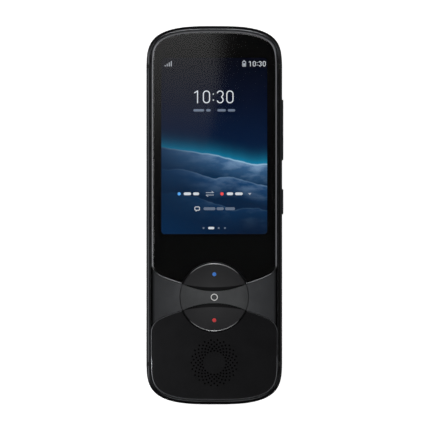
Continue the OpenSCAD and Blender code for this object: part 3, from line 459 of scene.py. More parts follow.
def stroke(points, width, steps=6):
    """Outline of a line of the given width with round ends."""
    path = [Vector(p) for p in points]
    half = width / 2
    sides = []
    for i, p in enumerate(path):
        ahead = (path[min(i + 1, len(path) - 1)] - path[max(i - 1, 0)]).normalized()
        sides.append((p, Vector((-ahead.y, ahead.x)) * half))
    turn = math.degrees(math.atan2(sides[-1][1].y, sides[-1][1].x))
    back = math.degrees(math.atan2(-sides[0][1].y, -sides[0][1].x))
    head = arc(path[-1], half, turn - 180, turn, steps)[1:-1]
    tail = arc(path[0], half, back - 180, back, steps)[1:-1]
    return [tuple(p - n) for p, n in sides] + head + [tuple(p + n) for p, n in reversed(sides)] + tail


def plate(bm, loops, low, high):
    """Adds a flat plate: the first loop is its outline, the others are its openings."""
    edges = []
    for loop in loops:
        loop = [p for i, p in enumerate(loop) if math.dist(p, loop[i - 1]) > 1e-5]
        verts = [bm.verts.new((x, y, low)) for x, y in loop]
        edges += [bm.edges.new((verts[i - 1], verts[i])) for i in range(len(verts))]
    faces = [f for f in bmesh.ops.triangle_fill(bm, edges=edges, use_beauty=True)["geom"]
             if isinstance(f, bmesh.types.BMFace)]
    moved = bmesh.ops.extrude_face_region(bm, geom=faces)["geom"]
    top = [v for v in moved if isinstance(v, bmesh.types.BMVert)]
    bmesh.ops.translate(bm, vec=(0, 0, high - low), verts=top)
    return bm


def turned(profile, center, axis="Z", steps=64):
    """A new solid of revolution in a mesh of its own; profile holds (radius, height) pairs."""
    bm = bmesh.new()
    verts = [bm.verts.new((r, 0, h)) for r, h in profile]
    edges = [bm.edges.new(pair) for pair in zip(verts, verts[1:])]
    bmesh.ops.spin(bm, geom=verts + edges, cent=(0, 0, 0), axis=(0, 0, 1), angle=2 * math.pi, steps=steps,
                   use_merge=True)
    bmesh.ops.remove_doubles(bm, verts=bm.verts, dist=1e-4)
    spin = Matrix.Rotation(-math.pi / 2 if axis == "Y" else 0.0, 4, "X")
    bmesh.ops.transform(bm, matrix=Matrix.Translation(center) @ spin, verts=bm.verts)
    return bm


def piece(name, bm, material, smooth_angle=30):
    """Makes a finished object that rides on the housing from a mesh, or several, in millimetres."""
    if not isinstance(bm, bmesh.types.BMesh):
        joined = bmesh.new()
        for part in bm:
            loose = bpy.data.meshes.new("loose")
            part.to_mesh(loose)
            joined.from_mesh(loose)
            part.free()
            bpy.data.meshes.remove(loose)
        bm = joined
    bmesh.ops.recalc_face_normals(bm, faces=bm.faces)
    bmesh.ops.scale(bm, vec=(MM, MM, MM), verts=bm.verts)
    for face in bm.faces:
        face.smooth = True
    for edge in bm.edges:
        edge.smooth = len(edge.link_faces) == 2 and edge.calc_face_angle(0) < math.radians(smooth_angle)
    made = mesh_object(name, bm, material)
    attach(made, "housing")
    return made


# ---------------------------------------------------------------- the screen
# Places and sizes are in millimetres from the body's middle


def wallpaper(strength):
    """Night-blue hills in mist under a cyan horizon: its own light and soft haze make it a lit picture."""
    material, tree, out = new_material("night_hills_wallpaper", "#02264a")
    x, y = axes(tree)[:2]
    cloud_grain = noise(tree, 0.0075, place(tree, (1, 2.4, 1)), detail=9)
    mist = add_node(tree, "MapRange", (cloud_grain, 0.42, 0.62, 0.0, 1.0))
    east = add_node(tree, "MapRange", (x, -0.019, 0.012, 0.0, 1.0))
    west = add_node(tree, "MapRange", (x, -0.022, 0.004, 0.85, 0.0))

    def ridge(height, swing, size, seed):
        along = add_node(tree, "Math", (x, 1 / size, seed), operation="MULTIPLY_ADD")
        line = add_node(tree, "TexNoise", {"W": along, "Scale": 1.0, "Detail": 4.0, "Roughness": 0.4},
                        noise_dimensions="1D").outputs[0]
        top = add_node(tree, "Math", (line, 2 * swing, height - swing), operation="MULTIPLY_ADD")
        return add_node(tree, "Math", (x, -0.17, top), operation="MULTIPLY_ADD")

    hills = [(0.0232, 0.0034, 0.026, 3.0, "#3d6690", "#0a2c4c", 0.008, 0.75, 0.6),
             (0.0150, 0.0046, 0.021, 11.3, "#1a426c", "#06203c", 0.008, 0.16, 0.3),
             (0.0052, 0.0044, 0.018, 5.2, "#0b3054", "#041a34", 0.009, 0.05, 0.12)]
    above = add_node(tree, "Math", (y, ridge(*hills[0][:4])), operation="SUBTRACT")
    climb = add_node(tree, "MapRange", (y, 0.016, 0.058, 0, 1))
    sky = add_node(tree, "ValToRGB", (climb,), [(0, "#042444"), (0.3, "#021634"), (0.65, "#010a22"),
                                                (1, "#00020f")])
    # the cyan light over the far hill, stronger on the right
    fall = add_node(tree, "MapRange", (above, 0.0, 0.0095, 1.0, 0.0))
    halo = add_node(tree, "Math", (fall, 3.4), operation="POWER")
    sway = add_node(tree, "MapRange", (x, -0.02, 0.016, 0.4, 0.8))
    halo = add_node(tree, "Math", (halo, sway), operation="MULTIPLY")
    picture = add_node(tree, "Mix", {0: halo, 6: sky, 7: linear("#168cb4")}, data_type="RGBA").outputs[2]
    for height, swing, size, seed, crest, foot, depth, rim, cloud in hills:
        under = add_node(tree, "Math", (ridge(height, swing, size, seed), y), operation="SUBTRACT")
        mask = add_node(tree, "MapRange", (under, -0.00016, 0.00016, 0.0, 1.0))
        fall = add_node(tree, "MapRange", (under, 0.0, depth, 0.0, 1.0))
        body = add_node(tree, "Mix", {0: fall, 6: linear(crest), 7: linear(foot)},
                        data_type="RGBA").outputs[2]
        # mist below the crest, on the right
        thick = add_node(tree, "MapRange", (under, 0.0, depth, cloud, 0.0))
        puffs = add_node(tree, "Math", (mist, thick), operation="MULTIPLY")
        puffs = add_node(tree, "Math", (puffs, east), operation="MULTIPLY")
        # a bright line along the crest, stronger on the right
        line = add_node(tree, "MapRange", (under, 0.0, 0.0006, rim, 0.0))
        sway = add_node(tree, "MapRange", (x, -0.02, 0.01, 0.35, 1.0))
        line = add_node(tree, "Math", (line, sway), operation="MULTIPLY")
        for share, color in ((puffs, "#8fb0cf"), (line, "#b5dcf4"), (west, "#08213b")):
            body = add_node(tree, "Mix", {0: share, 6: body, 7: linear(color)}, data_type="RGBA").outputs[2]
        picture = add_node(tree, "Mix", {0: mask, 6: picture, 7: body}, data_type="RGBA").outputs[2]
    low = add_node(tree, "MapRange", (y, -0.008, 0.006, 0.7, 0.0))
    valley = add_node(tree, "Mix", {0: east, 6: linear("#02294f"), 7: linear("#04162f")},
                      data_type="RGBA").outputs[2]
    picture = add_node(tree, "Mix", {0: low, 6: picture, 7: valley}, data_type="RGBA").outputs[2]
    glow = add_node(tree, "Emission", {"Color": picture, "Strength": strength})
    tree.links.new(glow.outputs[0], out.inputs[0])
    return material


def digit(number, x, y, wide, high, line):
    """Loops of a thin digit in the box whose lower left corner is (x, y)."""
    if number == "0":
        return [[round_box(x, y, x + wide, y + high, wide / 2),
                 round_box(x + line, y + line, x + wide - line, y + high - line, wide / 2 - line)[::-1]]]
    if number == "1":
        stem = x + wide * 0.62
        top = (stem, y + high - line / 2)
        return [[stroke([top, (stem, y + line / 2)], line)],
                [stroke([(stem - wide * 0.42, y + high * 0.82), top], line)]]
    if number == "3":
        radius = high / 4 - line / 4
        middle = x + wide / 2
        upper = arc((middle, y + high - radius - line / 2), radius, 160, -60, 14)
        lower = arc((middle, y + radius + line / 2), radius, 60, -160, 14)
        return [[stroke(upper + lower, line)]]
    dot = line * 0.62
    return [[circle(x + wide / 2, y + high * f, dot, 20)] for f in (0.25, 0.72)]


def clock(text, x, y, high, line, pitch):
    """Loops of a row of digits."""
    shapes = []
    for mark in text:
        wide = high * (0.56 if mark != ":" else 0.1)
        shapes += digit(mark, x, y, wide, high, line)
        x += wide + pitch
    return shapes


def bubble(x, y, wide, high, line):
    """Loops of a speech bubble in outline."""
    tail = [(x + wide * 0.3, y), (x + wide * 0.22, y - high * 0.28), (x + wide * 0.5, y)]
    box = round_box(x, y, x + wide, y + high, high * 0.35)
    return [[box, round_box(x + line, y + line, x + wide - line, y + high - line, high * 0.2)[::-1]],
            [tail]]


def lit(name, shapes, color, strength):
    """Glowing marks that lie inside the bonded display, close under the glass."""
    bm = bmesh.new()
    low = GLASS_Z + 0.012
    for loops in shapes:
        plate(bm, loops, low, low + 0.003)
    return piece(name, bm, shine(name + "_light", color, strength))


def build_picture(look):
    """The lit picture in the display, and the black border printed under the glass."""
    x0, y0, x1, y1 = LIT
    lap = 0.1
    bm = plate(bmesh.new(), [round_box(x0 - lap, y0 - lap, x1 + lap, y1 + lap, 1.3)],
               GLASS_Z + 0.004, GLASS_Z + 0.007)
    piece("display_picture", bm, wallpaper(look.glow))
    # ink fired under the glass: an even black without a sheen of its own
    ink = finish("black_ceramic_ink", "#020203", 0.9, grain=0, vary=0.3, ior=1.0)
    window = round_box(x0, y0, x1, y1, 1.2)[::-1]
    crown = [p for p in outline(2.05, 40) if p[1] > END_Y]
    bm = plate(bmesh.new(), [waist(-0.3) + crown, window], GLASS_Z + 0.008, GLASS_Z + 0.011)
    piece("glass_border_print", bm, ink)


def build_clocks(look):
    """The large clock, the small one in the status row, and the bars that stand for a date."""
    lit("clock_large", clock("10:30", -8.1, 42.9, 4.9, 0.38, 1.0), look.mark_color, look.glow)
    lit("clock_small", clock("10:30", 13.15, 57.0, 2.05, 0.27, 0.44), look.mark_color, 0.8 * look.glow)
    rows = [(-8.0, -3.9), (-3.1, -1.4), (1.2, 4.4), (5.2, 8.0)]
    lit("date_bars", [[round_box(a, 39.75, b, 40.65, 0.42)] for a, b in rows], look.dim_color,
        0.75 * look.glow)


def build_status_marks(look):
    """The signal bars and the battery in the status row."""
    pitch, bar = 0.78, 0.38
    bars = [round_box(-19.0 + pitch * i, 57.0, -19.0 + bar + pitch * i, 57.5 + 0.52 * i, 0.1, 3)
            for i in range(4)]
    lit("signal_bars", [[b] for b in bars], "#c3c9d2", 0.7 * look.glow)
    shell = [round_box(10.75, 56.95, 12.15, 59.0, 0.25, 3), round_box(11.0, 57.2, 11.9, 58.75, 0.1, 3)[::-1]]
    lit("battery_mark", [shell, [round_box(11.1, 57.3, 11.8, 58.2, 0.06, 3)],
                         [round_box(11.15, 59.08, 11.75, 59.35, 0.05, 3)]], "#c3c9d2", 0.8 * look.glow)


def build_language_row(look):
    """The row that pairs the blue key's language with the red key's."""
    words = [(-11.7, -8.9), (-8.1, -5.8), (4.8, 7.2), (8.0, 10.9)]
    lit("word_bars", [[round_box(a, 7.7, b, 8.75, 0.5)] for a, b in words], look.mark_color,
        0.9 * look.glow)
    lit("blue_dot", [[circle(-13.45, 8.2, 0.62)]], look.blue, look.glow)
    lit("red_dot", [[circle(2.95, 8.2, 0.62)]], look.red, look.glow)
    x, y, line = -1.7, 8.2, 0.24
    arrows = []
    for s in (-1, 1):
        tip = (x + s * 1.4, y + s * 0.45)
        arrows += [[stroke([(x - s * 1.4, y + s * 0.45), tip], line)],
                   [stroke([(x + s * 0.75, y + s * 1.0), tip], line)]]
    lit("swap_arrows", arrows + [[[(13.0, 8.5), (13.6, 7.75), (14.2, 8.5)]]], "#b9c4d2", 0.8 * look.glow)


def build_caption_row(look):
    """The speech bubble with the bars that stand for a caption."""
    lit("chat_bubble", bubble(-7.6, 1.75, 2.1, 1.6, 0.3), look.mark_color, 0.8 * look.glow)
    lines = [(-4.1, 0.4), (0.9, 3.6), (4.2, 7.9)]
    lit("caption_bars", [[round_box(a, 1.95, b, 3.05, 0.5)] for a, b in lines], look.dim_color,
        0.65 * look.glow)


def build_page_row(look):
    """The dots under the picture; the wide one is the page that is shown."""
    lit("page_dots", [[circle(x, -4.9, 0.36, 24)] for x in (-4.1, 1.7, 4.1)], look.dim_color,
        0.7 * look.glow)
    lit("page_mark", [[round_box(-2.35, -5.35, 0.0, -4.45, 0.44)]], look.mark_color, 0.9 * look.glow)


# ---------------------------------------------------------------- camera, flash and socket details


def coated_lens():
    """Dark lens glass: the coating's violet and green sheen, painted into its colour by viewing angle, tells
    it from plain black.
    """
    material, tree, out = new_material("coated_camera_lens_glass", "#0a0d1c")
    lean = add_node(tree, "LayerWeight", {"Blend": 0.35}).outputs["Facing"]
    sheen = add_node(tree, "ValToRGB", (lean,), [(0.0, "#1a0f3a"), (0.35, "#0d2a3e"), (0.7, "#10301f"),
                                                 (1.0, "#05070c")])
    shader = add_node(tree, "BsdfPrincipled", {"Base Color": sheen, "Roughness": 0.04, "IOR": 1.6,
                                               "Coat Weight": 1.0, "Coat Roughness": 0.02})
    tree.links.new(shader.outputs[0], out.inputs[0])
    return material


def build_camera_optics(look):
    """A stepped baffle behind the window, and the curved first lens in the barrel's recess."""
    steps, wide, narrow, start = look.baffle_steps, 3.6, 1.9, 0.95
    profile = [(wide, start), (wide, BARREL_Z), (narrow, BARREL_Z)]
    for i in range(steps):
        radius = narrow + (wide - 0.15 - narrow) * i / steps
        height = BARREL_Z - (BARREL_Z - start) * (i + 1) / (steps + 1)
        profile += [(radius, height), (narrow + (wide - 0.15 - narrow) * (i + 1) / steps, height)]
    profile += [(wide - 0.15, start), (wide, start)]
    # matt black steps that swallow the light beside the lens
    piece("camera_baffle", turned(profile, (0, CAMERA_Y, 0)),
          finish("matt_lens_baffle", "#0d0d0f", 0.7, grain=3e-6))
    radius, bow, near = look.lens_radius / MM, 6.4, BARREL_Z + 0.05
    face = [(radius * i / 12, near + bow - math.sqrt(bow ** 2 - (radius * i / 12) ** 2)) for i in range(13)]
    face += [(radius, BARREL_Z + 0.49), (0, BARREL_Z + 0.49)]
    piece("camera_front_lens", turned(face, (0, CAMERA_Y, 0)), coated_lens())


def build_flash_optics(look):
    """The ringed disc behind the flash window, with its rising teeth towards the back."""
    pitch, depth, radius = look.flash_pitch / MM, 0.1, 1.75
    teeth = int(radius / pitch)
    profile = [(0, BACK_Z + 0.02)]
    for i in range(teeth):
        profile += [((i + 1) * pitch, BACK_Z + 0.02 + depth), ((i + 1) * pitch + 0.02, BACK_Z + 0.02)]
    profile += [(radius + 0.04, BACK_Z + 0.02), (radius + 0.04, BACK_Z + 0.3), (0, BACK_Z + 0.3)]
    # pale yellow moulded resin whose rings catch the light one by one
    piece("flash_ringed_disc", turned(profile, (0, FLASH_Y, 0), steps=48),
          finish("moulded_flash_resin", "#e9e2c0", 0.2, grain=0, coat=1.0), smooth_angle=20)


def build_socket_contacts(look):
    """Gold bars on both faces of the data socket's tongue, and the ring contacts in the audio bore."""
    # thin gold on polished metal: warm and bright
    gold = finish("gold_flashed_contact", "#d9a441", 0.22, metal=1.0, grain=1e-6, vary=0.05)
    pitch, half, count = look.contact_pitch / MM, look.contact_width / MM / 2, 12
    bm = bmesh.new()
    for i in range(count):
        x = (i - (count - 1) / 2) * pitch
        bar = round_box(x - half, TONGUE_REACH[0], x + half, TONGUE_REACH[1], half * 0.8, 3)
        for low in (PORT_Z - TONGUE_HALF - 0.02, PORT_Z + TONGUE_HALF - 0.005):
            plate(bm, [bar], low, low + 0.025)
    piece("socket_contacts", bm, gold)
    inner, outer = JACK_R - 0.09, JACK_R - 0.01
    profile = [(inner, -0.25), (outer, -0.35), (outer, 0.35), (inner, 0.25), (inner, -0.25)]
    rings = [turned(profile, (JACK_X, y, JACK_Z), axis="Y", steps=40) for y in (71.0, 67.6, 64.2)]
    piece("jack_ring_contacts", rings, gold)


# ---------------------------------------------------------------- finishes

ON_ENDS = past(1, 0.060, 0.067)

# Zones laid over a finish one after the other, as (mask, colour, gloss, metal); most of them paint highlight
# or shade
ZONES = {
    "grey_trim": [
        # painted shade: darker towards both sides, near black on the rounded flanks and past them
        (past(0, 0.013, 0.024), "#38393b", 0.42, 1.0),
        (facing(0.9, 0.99), "#020202", 0.8, 1.0),
        (past(0, 0.0226, 0.0239), "#010101", 0.8, 1.0)],
    "black_cover": [
        # a painted highlight: light grey metal on the rounded edge away from the keys; painted shade: near
        # black on the steep walls
        (among(facing(0.9, 0.99), beyond(0.0136)), "#6f7073", 0.3, 0.9),
        (facing(0.5, 0.75), "#010101", 0.8, 1.0)],
    "key_black": [
        # painted shade: a darker, glossier black on the sloped walls of the scoops; a painted highlight:
        # pale metal on the outer rim near the middle of its arc
        (facing(0.97, 0.99), "#0a0a0b", 0.3, 0.0),
        (beyond(0.01272, above=0.01268, reach=0.0095), "#c9cacc", 0.3, 1.0)],
    # painted shade: the steep flanks near black
    "key_grey": [(facing(0.6, 0.9), "#040404", 0.5, 0.0)],
    "legend_white": [(beyond(0.00133, soft=0.00002), "#1c1c1d", 0.4, 0.6)],
    "frame_metal": [
        # painted highlight where the rounding starts, painted shade further down
        (facing(0.965, 0.998), "#555658", 0.24, 1.0),
        (facing(0.68, 0.9), "#0c0c0d", 0.4, 1.0),
        # both ends: a painted highlight on the flat inner part of the rim, painted shade where it rounds, at
        # the outline and at the very ends
        (among(ON_ENDS, level(0.997, 0.9998)), "#5c5d5f", 0.3, 1.0),
        (among(ON_ENDS, facing(0.997, 0.9998)), "#0b0b0c", 0.4, 1.0),
        (among(ON_ENDS, near_outline(0.80, 0.85)), "#0e0e0f", 0.4, 1.0),
        (past(1, 0.07125, 0.0714), "#0e0e0f", 0.4, 1.0),
        # left side: painted shade outside a thin painted highlight line; right side: a thin, dimmer painted
        # highlight line
        (past(0, -0.02535, -0.0256, False), "#0d0d0e", 0.4, 1.0),
        (among(past(0, -0.02485, -0.025, False), past(0, -0.0256, -0.02535, False)), "#404143", 0.3, 1.0),
        (among(past(0, 0.0249, 0.0251, False), past(0, 0.0257, 0.0255, False)), "#1d1d1e", 0.4, 1.0),
        # the upright walls in a lighter grey
        (facing(0.15, 0.35), "#2e2f31", 0.36, 1.0)],
}

# Each finish: (name, colour, gloss, further settings). The comment says what it gives the eye.
# Lengths are in metres: grain is the depth of the real surface's relief and grain_size its spacing,
# vary_size is the spacing of the colour drift and edge the rounding of sharp corners.
FINISHES = {
    # dull open cells
    "gasket": ("die_cut_foam_adhesive", "#0b0b0b", 0.85, dict(grain=2e-5, grain_size=0.0003)),
    # warm white moulded tray with a soft sheen
    "backlight_tray": ("white_moulded_light_tray", "#c9cbc8", 0.45, {}),
    # amber film under a clear cover layer
    "flex": ("polyimide_flex_circuit", "#a4601c", 0.32, dict(coat=0.5, vary=0.2)),
    # brushed grey with painted shade: darker towards the sides, and near black on the rounded edges
    "grey_trim": ("satin_metallised_trim", "#444547", 0.42,
                  dict(metal=1.0, brush=(0.04, 1, 1), grain=3e-6, grain_size=0.00012)),
    # deep black with a fine texture, a painted highlight line round its edge and painted shade on its steep
    # walls
    "black_cover": ("satin_black_painted_polycarbonate", "#0a0a0b", 0.3,
                    dict(grain=1.5e-6, grain_size=0.00022, smudge=0.02, edge=0.00003, ior=1.14)),
    # dry black with a hint of fibre
    "port_black": ("glass_filled_nylon_black", "#101011", 0.55, dict(grain=8e-6)),
    # soft black with painted shade on the sloped walls and a painted highlight on the round outer rim, only
    # near the middle of its arc
    "key_black": ("soft_touch_black_keycap", "#0f0f11", 0.36,
                  dict(grain=2e-6, grain_size=0.00014, edge=0.00005, ior=1.3)),
    # the waist's brushed grey, with painted shade that turns its flanks near black
    "key_grey": ("satin_metallised_keycap", "#3c3d3e", 0.42,
                 dict(metal=0.9, brush=(0.03, 1, 1), grain=3e-6, grain_size=0.0001, edge=0.00005)),
    # saturated blue and red under a clear face
    "blue_lens": ("blue_tinted_light_guide", "#2a63ac", 0.25, dict(coat=1.0, grain=0)),
    "red_lens": ("red_tinted_light_guide", "#a81e20", 0.25, dict(coat=1.0, grain=0)),
    # off-white ring whose outer edge is in the key's shade
    "legend_white": ("double_shot_legend_resin", "#c4c4c2", 0.4, dict(grain=1e-6)),
    # glossy green lacquer with copper areas showing through as darker patches
    "board": ("green_solder_mask_board", "#10341c", 0.35, dict(coat=0.4, vary=0.3, vary_size=0.002)),
    # bright spring metal
    "dome_steel": ("stamped_dome_steel", "#b9bcc0", 0.25, dict(metal=1.0)),
    # dull grey with the coarse skin of a casting
    "cast_metal": ("die_cast_magnesium", "#6d6f72", 0.55, dict(metal=0.85, grain=2e-5, grain_size=0.0005)),
    # black satin metal with painted light: a painted highlight line on the rounding, painted shade on the
    # flanks, and at both ends a painted highlight line along the inner part of the rim
    "frame_metal": ("bead_blasted_black_anodised_frame", "#171718", 0.26,
                    dict(metal=1.0, grain=2e-6, grain_size=0.00009, edge=0.00015)),
    # a dry black break in the metal
    "break_plastic": ("antenna_break_resin", "#0b0b0c", 0.45, dict(grain=2e-6, ior=1.3)),
    # charcoal with the fine pits of a spark-eroded mould
    "back_plastic": ("fine_spark_eroded_black_plastic", "#1c1c1e", 0.46,
                     dict(grain=9e-6, grain_size=0.0003, vary=0.18)),
    # dark turned metal with a tight highlight
    "ring_metal": ("turned_camera_ring", "#6a6c70", 0.22, dict(metal=1.0)),
    # a black that gives nothing back
    "camera_black": ("flocked_lens_barrel", "#08080a", 0.6, {}),
    # pale tin with faint stains
    "stamped_metal": ("tin_plated_stamping", "#a9abad", 0.34, dict(metal=1.0, vary=0.1)),
    # chalky yellow
    "led_phosphor": ("led_phosphor", "#e4c33a", 0.5, dict(vary=0.2, vary_size=0.0005)),
    # dark foil with the long waves of a pouch
    "battery_foil": ("laminated_pouch_foil", "#34363a", 0.38,
                     dict(metal=0.6, grain=3e-5, grain_size=0.002, vary=0.1)),
    # chalk-white film
    "tape_white": ("stretch_release_tape", "#d7d7d2", 0.6, {}),
    # clean cold metal
    "steel": ("zinc_plated_screw_steel", "#aeb0b3", 0.3, dict(metal=1.0)),
    # the frame's satin black, a little lighter
    "button_metal": ("black_anodised_button", "#2c2d2f", 0.32,
                     dict(metal=1.0, grain=2e-6, grain_size=0.00009, edge=0.0003)),
    # matt black rubber
    "boot_rubber": ("silicone_boot", "#0f0f10", 0.7, {}),
    # smooth black film
    "display": ("display_panel_polariser", "#0a0a0d", 0.12, dict(grain=0)),
    # black threads that are drawn coarser than the real 0.05 mm, so that they show
    "mesh_cloth": ("woven_acoustic_mesh", "#040404", 0.8, dict(grain=3e-5, grain_size=0.00012, ior=1.06)),
}

# The CAD nodes that wear each finish
WEARS = {
    "gasket": ["glass_gasket", "speaker_gasket"],
    "backlight_tray": ["backlight"],
    "flex": ["display_ribbon", "battery_lead", "side_switch_strip"],
    "grey_trim": ["waist_trim"],
    "black_cover": ["speaker_cover"],
    "port_black": ["speaker_module", "usb_tongue", "audio_jack"],
    "key_black": ["blue_key", "red_key"],
    "key_grey": ["home_key"],
    "board": ["key_board", "main_board", "lower_board", "flash_board", "battery_board"],
    "blue_lens": ["blue_light_guide"],
    "red_lens": ["red_light_guide"],
    "legend_white": ["home_legend"],
    "display": ["lcd_panel"],
    "mesh_cloth": ["speaker_mesh"],
    "dome_steel": ["key_domes", "side_switches"],
    "cast_metal": ["chassis"],
    "frame_metal": ["frame_top_cap", "frame_bottom_cap", "frame_left_rail", "frame_right_rail"],
    "break_plastic": ["antenna_breaks"],
    "back_plastic": ["rear_cover"],
    "ring_metal": ["camera_ring"],
    "camera_black": ["camera_module"],
    "stamped_metal": ["camera_bracket", "processor_shield", "charger_shield", "sim_reader"],
    "led_phosphor": ["flash_led"],
    "battery_foil": ["battery"],
    "tape_white": ["battery_adhesive"],
    "steel": ["vibration_motor", "usb_shell", "screws"],
    "button_metal": ["sim_tray", "volume_rocker", "power_button"],
    "boot_rubber": ["microphones"],
}


def glass(name, tint="#ffffff", rough=0.0, ior=1.5, edge=None):
    """Clear glass or resin; with edge, its bevelled edges turn to metal of that colour as a painted
    highlight, and to near black as painted shade on the steepest outer part of both sides above the waist.
    """
    material, tree, out = new_material(name, tint)
    shader = add_node(tree, "BsdfPrincipled", {"Base Color": linear(tint), "Roughness": rough, "IOR": ior,
                                               "Transmission Weight": 1.0})
    seen = add_node(tree, "LightPath").outputs["Is Shadow Ray"]
    clear = add_node(tree, "BsdfTransparent", {0: linear(tint)})
    both = add_node(tree, "MixShader", {0: seen, 1: shader.outputs[0], 2: clear.outputs[0]})
    if edge:
        # painted shade on the steepest outer part of the side bevels above the waist, and a painted
        # highlight of the edge colour on the rest
        outer = among(facing(0.86, 0.96), past(0, 0.02345, 0.02385), past(1, -0.021, -0.019, False))
        tone = add_node(tree, "Mix", {0: outer(tree), 6: linear(edge), 7: linear("#0a0a0b")},
                        data_type="RGBA").outputs[2]
        painted_edge_light = add_node(tree, "BsdfPrincipled", {"Base Color": tone, "Roughness": 0.32, "Metallic": 1.0})
        both = add_node(tree, "MixShader", {0: facing(0.982, 0.9965)(tree), 1: both.outputs[0],
                                            2: painted_edge_light.outputs[0]})
    tree.links.new(both.outputs[0], out.inputs[0])
    return material


def smoothing(limit):
    """Node group that welds a CAD mesh and shades it smooth across edges under a limit in degrees."""
    title = "smooth_skin_%d" % limit
    group = bpy.data.node_groups.get(title)
    if group:
        return group
    group = bpy.data.node_groups.new(title, "GeometryNodeTree")
    group.interface.new_socket("Geometry", in_out="INPUT", socket_type="NodeSocketGeometry")
    group.interface.new_socket("Geometry", in_out="OUTPUT", socket_type="NodeSocketGeometry")
    tree = group.nodes
    start, end = tree.new("NodeGroupInput"), tree.new("NodeGroupOutput")
    weld = tree.new("GeometryNodeMergeByDistance")
    weld.inputs["Distance"].default_value = 2e-6
    angle = tree.new("GeometryNodeInputMeshEdgeAngle")
    flat = tree.new("FunctionNodeCompare")
    flat.operation = "LESS_THAN"
    flat.inputs[1].default_value = math.radians(limit)
    faces = tree.new("GeometryNodeSetShadeSmooth")
    edges = tree.new("GeometryNodeSetShadeSmooth")
    edges.domain = "EDGE"
    link = group.links.new
    link(start.outputs[0], weld.inputs["Geometry"])
    link(weld.outputs[0], faces.inputs["Geometry"])
    link(faces.outputs[0], edges.inputs["Geometry"])
    link(angle.outputs["Unsigned Angle"], flat.inputs[0])
    link(flat.outputs[0], edges.inputs["Shade Smooth"])
    link(edges.outputs[0], end.inputs[0])
    return group


# Edges up to these angles in degrees are shaded smooth
CREASE, KEY_CREASE, GLASS_CREASE = 24, 12, 4


def smooth(node, limit=CREASE):
    """Smooth shading on a CAD node through modifiers, so that its mesh stays as packed."""
    node.modifiers.new("skin", "NODES").node_group = smoothing(limit)
    weigh = node.modifiers.new("weigh", "WEIGHTED_NORMAL")
    weigh.keep_sharp = True
    weigh.weight = 100


def wear(node, material):
    """Gives a CAD node its only material."""
    node.data.materials.clear()
    node.data.materials.append(material)


# ---------------------------------------------------------------- add-on


def power_property(label, told, default, high=5):
    """A lamp's power."""
    return FloatProperty(name=label, description=told, default=default, min=0, max=high, unit="POWER")


def length_property(label, told, default, low, high):
    """A length in metres."""
    return FloatProperty(name=label, description=told, default=default, min=low, max=high, unit="LENGTH")


def tint_property(label, told, code):
    """A colour setting whose default is an sRGB hex code."""
    return FloatVectorProperty(name=label, description=told, subtype="COLOR", size=3, min=0, max=1,
                               default=linear(code)[:3])


class StudioSettings(bpy.types.PropertyGroup):
    distance: length_property("Camera height", "Height of the camera above the screen", 2.4, 0.3, 5)
    frame_width: length_property("Frame width", "Width of the picture at the screen", 0.1647, 0.05, 1)
    side_power: power_property("Side softboxes", "Power of the softboxes on both sides", 6, 200)
    top_power: power_property("Overhead light", "Power of the overhead light", 20, 200)
    strip_power: power_property("End strips", "Power of the strip lights past both ends", 0.019)
    rim_power: power_property("Rim lamps", "Power of the two lamps that graze the key rims", 0.004)
    cover_power: power_property("Cover lamp", "Power of the lamp beside the speaker cover", 0.056)
    key_power: power_property("Cluster lamp", "Power of the lamp close above the keys", 0.0014)
    bank_power: power_property("End banks", "Power of the lights that draw both rounded ends", 0.1)
    edge_power: power_property("Edge lamps", "Power of the lamps that draw the glass's lower edge", 0.45)
    room: FloatProperty(name="Room", description="Brightness of the grey room", default=0.35, min=0, max=5)
    glare: FloatProperty(name="Glare", description="Brightness of the card that the glass mirrors",
                         default=1.7, min=0, max=10)


class FinishSettings(bpy.types.PropertyGroup):
    frame_color: tint_property("Frame", "Colour of the anodised frame", "#171718")
    cover_color: tint_property("Speaker cover", "Colour of the painted speaker cover", "#0a0a0b")
    key_color: tint_property("Language keys", "Colour of the two language keys", "#0f0f11")
    trim_color: tint_property("Waist", "Colour of the waist beside the home key", "#444547")


class ScreenSettings(bpy.types.PropertyGroup):
    glow: FloatProperty(name="Screen brightness", description="Brightness of the picture and its marks",
                        default=1.0, min=0, max=3, subtype="FACTOR")
    mark_color: tint_property("Marks", "Colour of the clocks and of the shown page's mark", "#dfe5ec")
    dim_color: tint_property("Dim marks", "Colour of the date, the caption and the other pages", "#7e8da3")
    blue: tint_property("First language", "Colour of the dot that stands for the blue key", "#5aa9f5")
    red: tint_property("Second language", "Colour of the dot that stands for the red key", "#f0504e")


class DetailSettings(bpy.types.PropertyGroup):
    lens_radius: length_property("Lens radius", "Radius of the camera's first lens", 0.0017, 0.0008, 0.00175)
    baffle_steps: IntProperty(name="Baffle steps", description="Steps of the baffle behind the window",
                              default=4, min=2, max=8)
    flash_pitch: length_property("Flash ring pitch", "Width of a ring of the flash disc",
                                 0.00025, 0.0001, 0.0006)
    contact_pitch: length_property("Contact pitch", "Distance between two contacts of the socket",
                                   0.0005, 0.0003, 0.00055)
    contact_width: length_property("Contact width", "Width of a contact of the socket",
                                   0.00025, 0.0001, 0.00028)


class TRANSLATOR_OT_build_studio(bpy.types.Operator):
    """Sets the floor, the lights, the reflected card and the camera"""
    bl_idname = "translator.build_studio"
    bl_label = "Build Studio"

    def execute(self, context):
        look = context.scene.translator_studio
        context.scene.view_settings.view_transform = "Standard"
        build_camera(look)
        build_world(look)
        # the floor throws no shadow, so that the lamp below reaches the back
        floor = stage_sheet("floor", FLOOR, floor_material())
        floor.visible_shadow = False
        card = stage_sheet("reflected_card", CARD, card_material(look))
        card.visible_camera = card.visible_diffuse = card.visible_shadow = False
        card.visible_transmission = False
        for name, at, aim, size, power, share, only in LAMPS:
            softbox(name, at, aim, size, getattr(look, power) * share, only)
        # the glass mirrors the card in place of the overhead light
        bpy.data.objects["overhead"].visible_glossy = False
        return {"FINISHED"}


